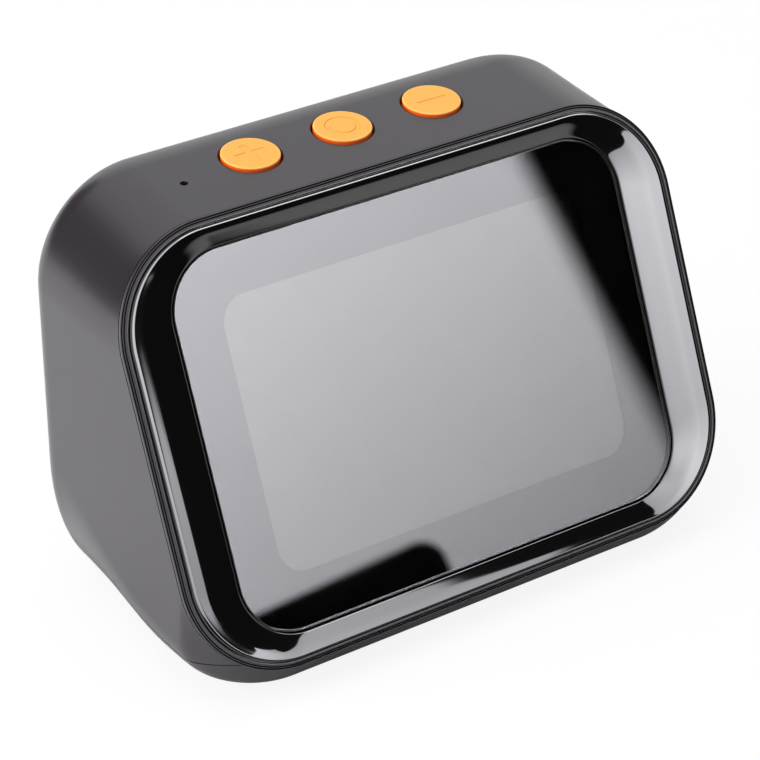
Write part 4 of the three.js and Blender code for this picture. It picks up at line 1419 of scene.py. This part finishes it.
@dataclass
class Feet:
    """Two rubber strips under the base."""

    form: HousingForm
    places: Places
    thickness: float = 1.3
    edge: float = 0.3
    edge_steps: int = 6
    outline_steps: tuple[int, int] = (20, 4)

    def build(self, wardrobe: Wardrobe) -> None:
        """Makes the strips: rounded outlines whose lower edge is a quarter round.

        Args:
            wardrobe: Puts the finish on.
        """
        low = self.form.floor - self.form.foot_proud
        angle = np.linspace(0, math.pi / 2, self.edge_steps)
        inset = np.append(self.edge * (1 - np.sin(angle)), 0.0)[:, None]
        level = np.append(self.edge * (1 - np.cos(angle)), self.thickness)[:, None] + low
        for node, y, width in self.form.feet:
            half, tall = width / 2 - inset, self.form.foot_depth / 2 - inset
            flat = outline(half, tall, (tall, tall), (tall, tall), *self.outline_steps)
            foot = mesh_object(f"{node}_strip", self.places.world(lifted(flat, level, y)))
            shade(foot)
            wardrobe.piece(foot, "rubber", node)


@dataclass
class Screws:
    """The base screws: domed heads with a cross recess, facing down."""

    places: Places
    nodes: Sequence[str]
    head_profile: tuple[tuple[float, float], ...] = (
        (AXIS_RADIUS, 0.0), (0.9, 0.03), (1.4, 0.12), (1.7, 0.26), (1.88, 0.5), (2.1, 1.2), (2.2, 1.66),
        (2.15, 1.7),
    )
    shank: float = 1.1
    tip: float = 0.5
    arm: tuple[float, float] = (1.15, 0.26)
    recess: float = 0.9
    sides: int = 64

    def build(self, wardrobe: Wardrobe) -> None:
        """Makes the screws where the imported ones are.

        Args:
            wardrobe: Puts the finish on.
        """
        for node in self.nodes:
            low, high = (np.array(corner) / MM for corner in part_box(node))
            place = np.array([*(low + high)[:2] / 2, low[2]])
            long = high[2] - low[2]
            shaft = [
                (self.shank, self.head_profile[-1][1]), (self.shank, long - self.tip), (self.tip, long),
                (AXIS_RADIUS, long),
            ]
            grid = shifted(turned([*self.head_profile, *shaft], self.sides), *place)
            screw = mesh_object(f"{node}_body", grid * MM)
            combine(screw, Join.CUT, [self._slot(place, *self.arm), self._slot(place, *self.arm[::-1])])
            shade(screw)
            wardrobe.piece(screw, "screw_steel", node)

    def _slot(self, place: np.ndarray, across: float, along: float) -> bpy.types.Object:
        """One bar of the cross recess."""
        half = np.array([across, along, self.recess])
        centre = place - self.places.shift
        return block("slot", centre - half, centre + half, self.places)


@dataclass
class InnerParts:
    """The pieces behind the housing keep their CAD meshes and get finishes by the record's slots."""

    record: dict
    nodes: dict[str, bpy.types.Object]

    def dress(self, wardrobe: Wardrobe) -> None:
        """Puts a finish on every CAD node.

        Args:
            wardrobe: Puts the finishes on.
        """
        for row in self.record["subparts"]:
            node = self.nodes[row["node"]]
            wardrobe.dress(node, FINISHES[row["material_slot"]])
        log.info("%d CAD nodes dressed", len(self.record["subparts"]))


@dataclass(frozen=True)
class View:
    """The photograph's viewing place, relative to the centre of the leaning front, in millimetres."""

    azimuth_deg: float = -33.71
    elevation_deg: float = 31.31
    focal_px: float = 2995.7
    image_px: float = 760.0
    distance: float = 518.0
    right: float = -9.99
    up: float = 0.06
    sensor: float = 36.0
    clip: tuple[float, float] = (0.01, 20.0)

    def axes(self) -> tuple[np.ndarray, np.ndarray, np.ndarray]:
        """Directions to the right, up and back towards the viewer.

        Returns:
            Three unit vectors.
        """
        azimuth, elevation = math.radians(self.azimuth_deg), math.radians(self.elevation_deg)
        right = np.array([math.cos(azimuth), math.sin(azimuth), 0.0])
        level = math.cos(elevation)
        back = np.array([math.sin(azimuth) * level, -math.cos(azimuth) * level, math.sin(elevation)])
        return right, np.cross(back, right), back

    def spot(self) -> np.ndarray:
        """Where the viewer stands.

        Returns:
            The place in design millimetres.
        """
        right, up, back = self.axes()
        return back * self.distance + right * self.right + up * self.up

    def place(self, places: Places) -> None:
        """Makes the scene's camera.

        Args:
            places: The frame.
        """
        right, up, back = self.axes()
        spot = places.world(self.spot())
        lens = bpy.data.cameras.new("camera")
        lens.sensor_width = self.sensor
        lens.lens = lens.sensor_width * self.focal_px / self.image_px
        lens.clip_start, lens.clip_end = self.clip
        camera = bpy.data.objects.new("camera", lens)
        turn = Matrix([right, up, back]).transposed().to_4x4()
        camera.matrix_world = Matrix.Translation(Vector(spot)) @ turn
        bpy.context.scene.collection.objects.link(camera)
        bpy.context.scene.camera = camera


@dataclass(frozen=True)
class CardField:
    """The lit field of the front card, in metres across (u) and up (v) from the mirrored centre ray.

    Each pair gives where an eased step starts and ends. The levels are the glass's screen light.
    """

    spans: tuple[float, float, float, float] = (-1700.0, -700.0, 1700.0, 4300.0)
    edge: float = 0.338
    edge_lean: float = 0.053
    edge_bend: tuple[float, float] = (0.4, 0.10)
    edge_soft: tuple[float, float] = (-0.03, 0.022)
    bulge: float = 0.2
    bulge_from: tuple[float, float] = (0.34, 0.44)
    bulge_to: tuple[float, float] = (0.88, 1.0)
    notch: tuple[float, float] = (0.027, 0.241)
    notch_round: float = 0.04
    notch_soft: tuple[float, float] = (-0.009, 0.009)
    level: float = 0.384
    level_across: float = 0.148
    level_up: tuple[float, float] = (0.3, 0.376)
    fade: float = 0.17
    fade_step: tuple[float, float] = (0.4, 1.0)
    side_fade: tuple[float, float] = (-0.4, 0.5)
    limits: tuple[float, float] = (0.15, 0.56)
    foot: tuple[float, float] = (-0.50, -0.44)
    head: tuple[float, float] = (2.1, 2.4)
    tint: tuple[float, float, float, float] = (0.985, 0.975, 1.03, 1)

    def share(self, u: Value, v: Value, peak: float) -> Value:
        """How bright the card is at a point: an open slope between dark edges, with a dark notch.

        Args:
            u: Metres across.
            v: Metres up.
            peak: The level that counts as 1.

        Returns:
            The share of the peak.
        """
        bend_from, bend = self.edge_bend
        edge = self.edge - v * self.edge_lean + (v - bend_from).highest(0.0) * bend
        edge = edge + v.step(*self.bulge_from) * (1 - v.step(*self.bulge_to)) * self.bulge
        lit = 1 - (u - edge).step(*self.edge_soft)
        beside, over = u + self.notch[0] + self.notch_round, v + self.notch[1] + self.notch_round
        corner = beside.highest(0.0).length(over.highest(0.0))
        outside = corner + beside.highest(over).lowest(0.0) - self.notch_round
        open_share = outside.step(*self.notch_soft)
        up_limit, up = self.level_up
        slope = self.level - u * self.level_across + v.lowest(up_limit) * up
        slope = slope - v.step(*self.fade_step) * self.fade
        side_from, side = self.side_fade
        slope = slope - (side_from - u).highest(0.0) * side
        lowest, highest = self.limits
        level = slope.highest(lowest).lowest(highest)
        level = level * v.step(*self.foot) * (1 - v.step(*self.head))
        return level * lit * open_share / peak


@dataclass
class Studio:
    """Pale floor, soft light, white surround, and the cards that the gloss surfaces mirror."""

    form: HousingForm
    places: Places
    view: View
    card: CardField
    floor_half: float = 6000.0
    floor_level: float = -0.03
    floor_white: float = 0.88
    floor_pale: tuple[float, float, float, float] = (0.88, 0.88, 0.89, 1)
    floor_matt: tuple[float, float, float, float] = (0.60, 0.60, 0.61, 1)
    ambient: float = 0.55
    lamps: tuple[tuple[str, tuple[float, float, float], float, float], ...] = (
        ("top_softbox", (-150.0, 60.0, 900.0), 900.0, 4.6),
        ("left_softbox", (-850.0, 150.0, 320.0), 700.0, 9.0),
    )
    lamp_aim: tuple[float, float, float] = (0, 0, 40)
    card_distance: float = 4000.0
    card_peak: float = 0.6
    glass_share: float = 0.0705
    lip_slope_deg: float = 3.8
    lip_inset: float = 1.7
    strip_distance: float = 150.0
    strip_reach: float = 47.0
    strip_half: float = 11.0
    strip_level: float = 0.85
    flag_turn_deg: float = 130.0
    flag_distance: float = 2000.0
    flag_half: float = 1900.0
    flag_low: float = 40.0
    flag_top: float = 1750.0
    flag_weave: float = 40.0
    flag_tone: tuple[float, float, float, float] = (0.01, 0.01, 0.01, 1)
    mat_box: tuple[float, float, float, float, float] = (-2000.0, -6000.0, 5000.0, 30.0, 0.1)
    mat_far: tuple[float, float] = (-400.0, -270.0)
    mat_left: tuple[float, float] = (62.0, 104.0)
    mat_bay: tuple[float, float] = (-150.0, -110.0)
    # The near part is painted shadow: it darkens the floor's reflection close in front of the object.
    shadow_mirror_near: tuple[float, float] = (-75.0, -55.0)
    shadow_mirror_left: tuple[float, float] = (-60.0, -45.0)
    shadow_mirror_share: float = 0.3

    def build(self) -> None:
        """Makes the surround, the floor, the lamps and the cards."""
        self._surround()
        self._floor()
        self._lamps()
        self._cards()
        self._strip()
        self._flag()
        self._mat()
        log.info("studio: %d lamps", len(self.lamps))

    def _surround(self) -> None:
        """A world that is white where it is seen and softer where it lights."""
        world = bpy.data.worlds.new("surround")
        bpy.context.scene.world = world
        world.use_nodes = True
        graph = Graph(world.node_tree)
        path = graph.add("ShaderNodeLightPath")
        seen = path["Is Camera Ray"].highest(path["Is Glossy Ray"]).highest(path["Is Transmission Ray"])
        soft, white = (
            graph.add("ShaderNodeBackground", None, {"Color": WHITE, "Strength": strength})["Background"]
            for strength in (self.ambient, 1.0)
        )
        graph.output(graph.mix_shaders(seen, soft, white), "ShaderNodeOutputWorld")

    def _sheet(
        self, name: str, finish: str, corners: np.ndarray, mirror_only: bool = True,
    ) -> tuple[bpy.types.Object, Graph]:
        """A flat sheet of the stage, its corners in metres, with the graph of its empty material."""
        mesh = bpy.data.meshes.new(name)
        mesh.from_pydata(corners.tolist(), [], [(0, 1, 2, 3)])
        sheet = bpy.data.objects.new(name, mesh)
        bpy.context.scene.collection.objects.link(sheet)
        material, graph = new_material(finish)
        mesh.materials.append(material)
        if mirror_only:
            sheet.visible_camera = sheet.visible_diffuse = sheet.visible_shadow = False
        return sheet, graph

    def _lying(self, low: Sequence[float], high: Sequence[float], level: float) -> np.ndarray:
        """Corners in metres of a level rectangle given in millimetres."""
        (x0, y0), (x1, y1) = low, high
        return np.array([(x0, y0, level), (x1, y0, level), (x1, y1, level), (x0, y1, level)]) * MM

    def _floor(self) -> None:
        """A floor nearly white to the camera, pale in mirrors and matt for the light it sends up."""
        far = self.floor_half
        corners = self._lying((-far, -far), (far, far), self.floor_level)
        _, graph = self._sheet("floor", "pale_floor", corners, mirror_only=False)
        path = graph.add("ShaderNodeLightPath")
        straight = path["Is Camera Ray"].highest(path["Is Transmission Ray"])
        pale, matt = (
            graph.add("ShaderNodeBsdfDiffuse", None, {"Color": colour})["BSDF"]
            for colour in (self.floor_pale, self.floor_matt)
        )
        bright = graph.mix_shaders(straight * self.floor_white, pale, graph.glow(WHITE, 1.0))
        graph.output(graph.mix_shaders(straight.highest(path["Is Glossy Ray"]), matt, bright))

    def _lamps(self) -> None:
        """Square lamps that light the object and aren't seen or mirrored."""
        for name, spot, size, power in self.lamps:
            lamp = bpy.data.lights.new(name, "AREA")
            lamp.shape = "SQUARE"
            lamp.size = size * MM
            lamp.energy = power
            holder = bpy.data.objects.new(name, lamp)
            holder.location = Vector(spot) * MM
            aim = Vector(self.lamp_aim) * MM - holder.location
            holder.rotation_mode = "QUATERNION"
            holder.rotation_quaternion = aim.to_track_quat("-Z", "Y")
            holder.visible_camera = False
            holder.visible_glossy = False
            bpy.context.scene.collection.objects.link(holder)

    def _mirrored_axes(self) -> tuple[np.ndarray, np.ndarray, np.ndarray]:
        """The mirrored view from the centre of the glass, with the directions across and up from it."""
        _, _, back = self.view.axes()
        normal = np.array([0.0, -math.cos(self.form.lean), math.sin(self.form.lean)])
        mirrored = 2 * (back @ normal) * normal - back
        across = np.cross([0.0, 0.0, 1.0], mirrored)
        across /= np.linalg.norm(across)
        return mirrored, across, np.cross(mirrored, across)

    def _cards(self) -> None:
        """The front card, square to the mirrored view of the glass centre and dark round its lit field."""
        mirrored, across, upward = self._mirrored_axes()
        centre = mirrored * self.card_distance
        left, low, right, high = self.card.spans
        spans = np.array([(left, low), (right, low), (right, high), (left, high)])
        corners = self.places.world(centre + spans[:, :1] * across + spans[:, 1:] * upward)
        card, graph = self._sheet("front_card", "front_card", corners)
        layer = card.data.uv_layers.new(name="UVMap")
        layer.data.foreach_set("uv", (spans * MM).ravel())
        place = graph.add("ShaderNodeTexCoord")["UV"]
        split = graph.add("ShaderNodeSeparateXYZ", None, {"Vector": place})
        colour = graph.blend(self.card.share(split["X"], split["Y"], self.card_peak), BLACK, self.card.tint)
        graph.output(graph.glow(colour, self.card_peak / self.glass_share))

    def _strip(self) -> None:
        """A narrow light close ahead, where the bezel's upper lip mirrors the view."""
        mirrored, _, upward = self._mirrored_axes()
        turn = self.form.lean + math.radians(self.lip_slope_deg)
        normal = np.array([0.0, -math.cos(turn), math.sin(turn)])
        y, z = self.form.front_point(self.form.tall - self.lip_inset, 0.0)
        ends = []
        for side in SIDES:
            spot = np.array([side * self.strip_reach, y, z])
            back = self.view.spot() - spot
            back /= np.linalg.norm(back)
            ray = 2 * (back @ normal) * normal - back
            ends.append(spot + ray * (self.strip_distance - spot @ mirrored) / (ray @ mirrored))
        raised = upward * self.strip_half
        corners = np.array([ends[0] - raised, ends[1] - raised, ends[1] + raised, ends[0] + raised])
        _, graph = self._sheet("lip_strip", "strip_light", self.places.world(corners))
        graph.output(graph.glow(WHITE, self.strip_level / self.glass_share))

    def _flag(self) -> None:
        """A dark sheet far back on the left, mirrored only by the rounded upper left edge."""
        turn = math.radians(self.flag_turn_deg)
        aim = np.array([math.cos(turn), math.sin(turn), 0.0])
        across = np.cross([0.0, 0.0, 1.0], aim)
        spans = np.array([(-1, 0), (1, 0), (1, 1), (-1, 1)], float) * [self.flag_half, self.flag_top]
        corners = aim * self.flag_distance + spans[:, :1] * across + [0.0, 0.0, self.flag_low]
        corners[:, 2] += spans[:, 1] * (1 - self.flag_low / self.flag_top)
        _, graph = self._sheet("back_flag", "dark_cloth", corners * MM)
        colour = graph.blend(graph.noise(self.flag_weave), BLACK, self.flag_tone)
        graph.output(graph.glow(colour, 1.0))

    def _mat(self) -> None:
        """A dark sheet on the floor ahead, seen only by mirrored rays, with a lit bay before the object;
        its near part is painted shadow in the floor's reflection.
        """
        x0, y0, x1, y1, level = self.mat_box
        _, graph = self._sheet("front_mat", "dark_mat", self._lying((x0, y0), (x1, y1), level))
        split = graph.add("ShaderNodeSeparateXYZ", None, {"Vector": graph.place()})
        x, y = split["X"] / MM, split["Y"] / MM
        far = 1 - y.step(*self.mat_far)
        beside = (1 - x.step(*self.mat_left)) * (1 - y.step(*self.mat_bay))
        # Painted shadow: a partial darkening of the mirrored floor just in front of the chin.
        near = y.step(*self.shadow_mirror_near) * x.step(*self.shadow_mirror_left) * self.shadow_mirror_share
        clear = graph.add("ShaderNodeBsdfTransparent")["BSDF"]
        graph.output(graph.mix_shaders(far.highest(beside).highest(near), clear, graph.glow(BLACK, 1.0)))


def main() -> None:
    """Builds the looks in order."""
    logging.basicConfig(level=logging.INFO, format="%(name)s %(message)s")
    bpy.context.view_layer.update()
    form = HousingForm()
    places = Places(form)
    view = View()
    wardrobe = Wardrobe()
    view.place(places)
    InnerParts(frame["record"], frame["nodes"]).dress(wardrobe)
    Housing(form, places).build(wardrobe)
    Front(form, places).build(wardrobe)
    Buttons(form, places).build(wardrobe)
    Feet(form, places).build(wardrobe)
    names = (row["node"] for row in frame["record"]["subparts"])
    Screws(places, [name for name in names if name.startswith("base_screw")]).build(wardrobe)
    Studio(form, places, view, CardField()).build()
    bpy.context.scene.view_settings.view_transform = "Standard"


if __name__ == "__main__":
    main()
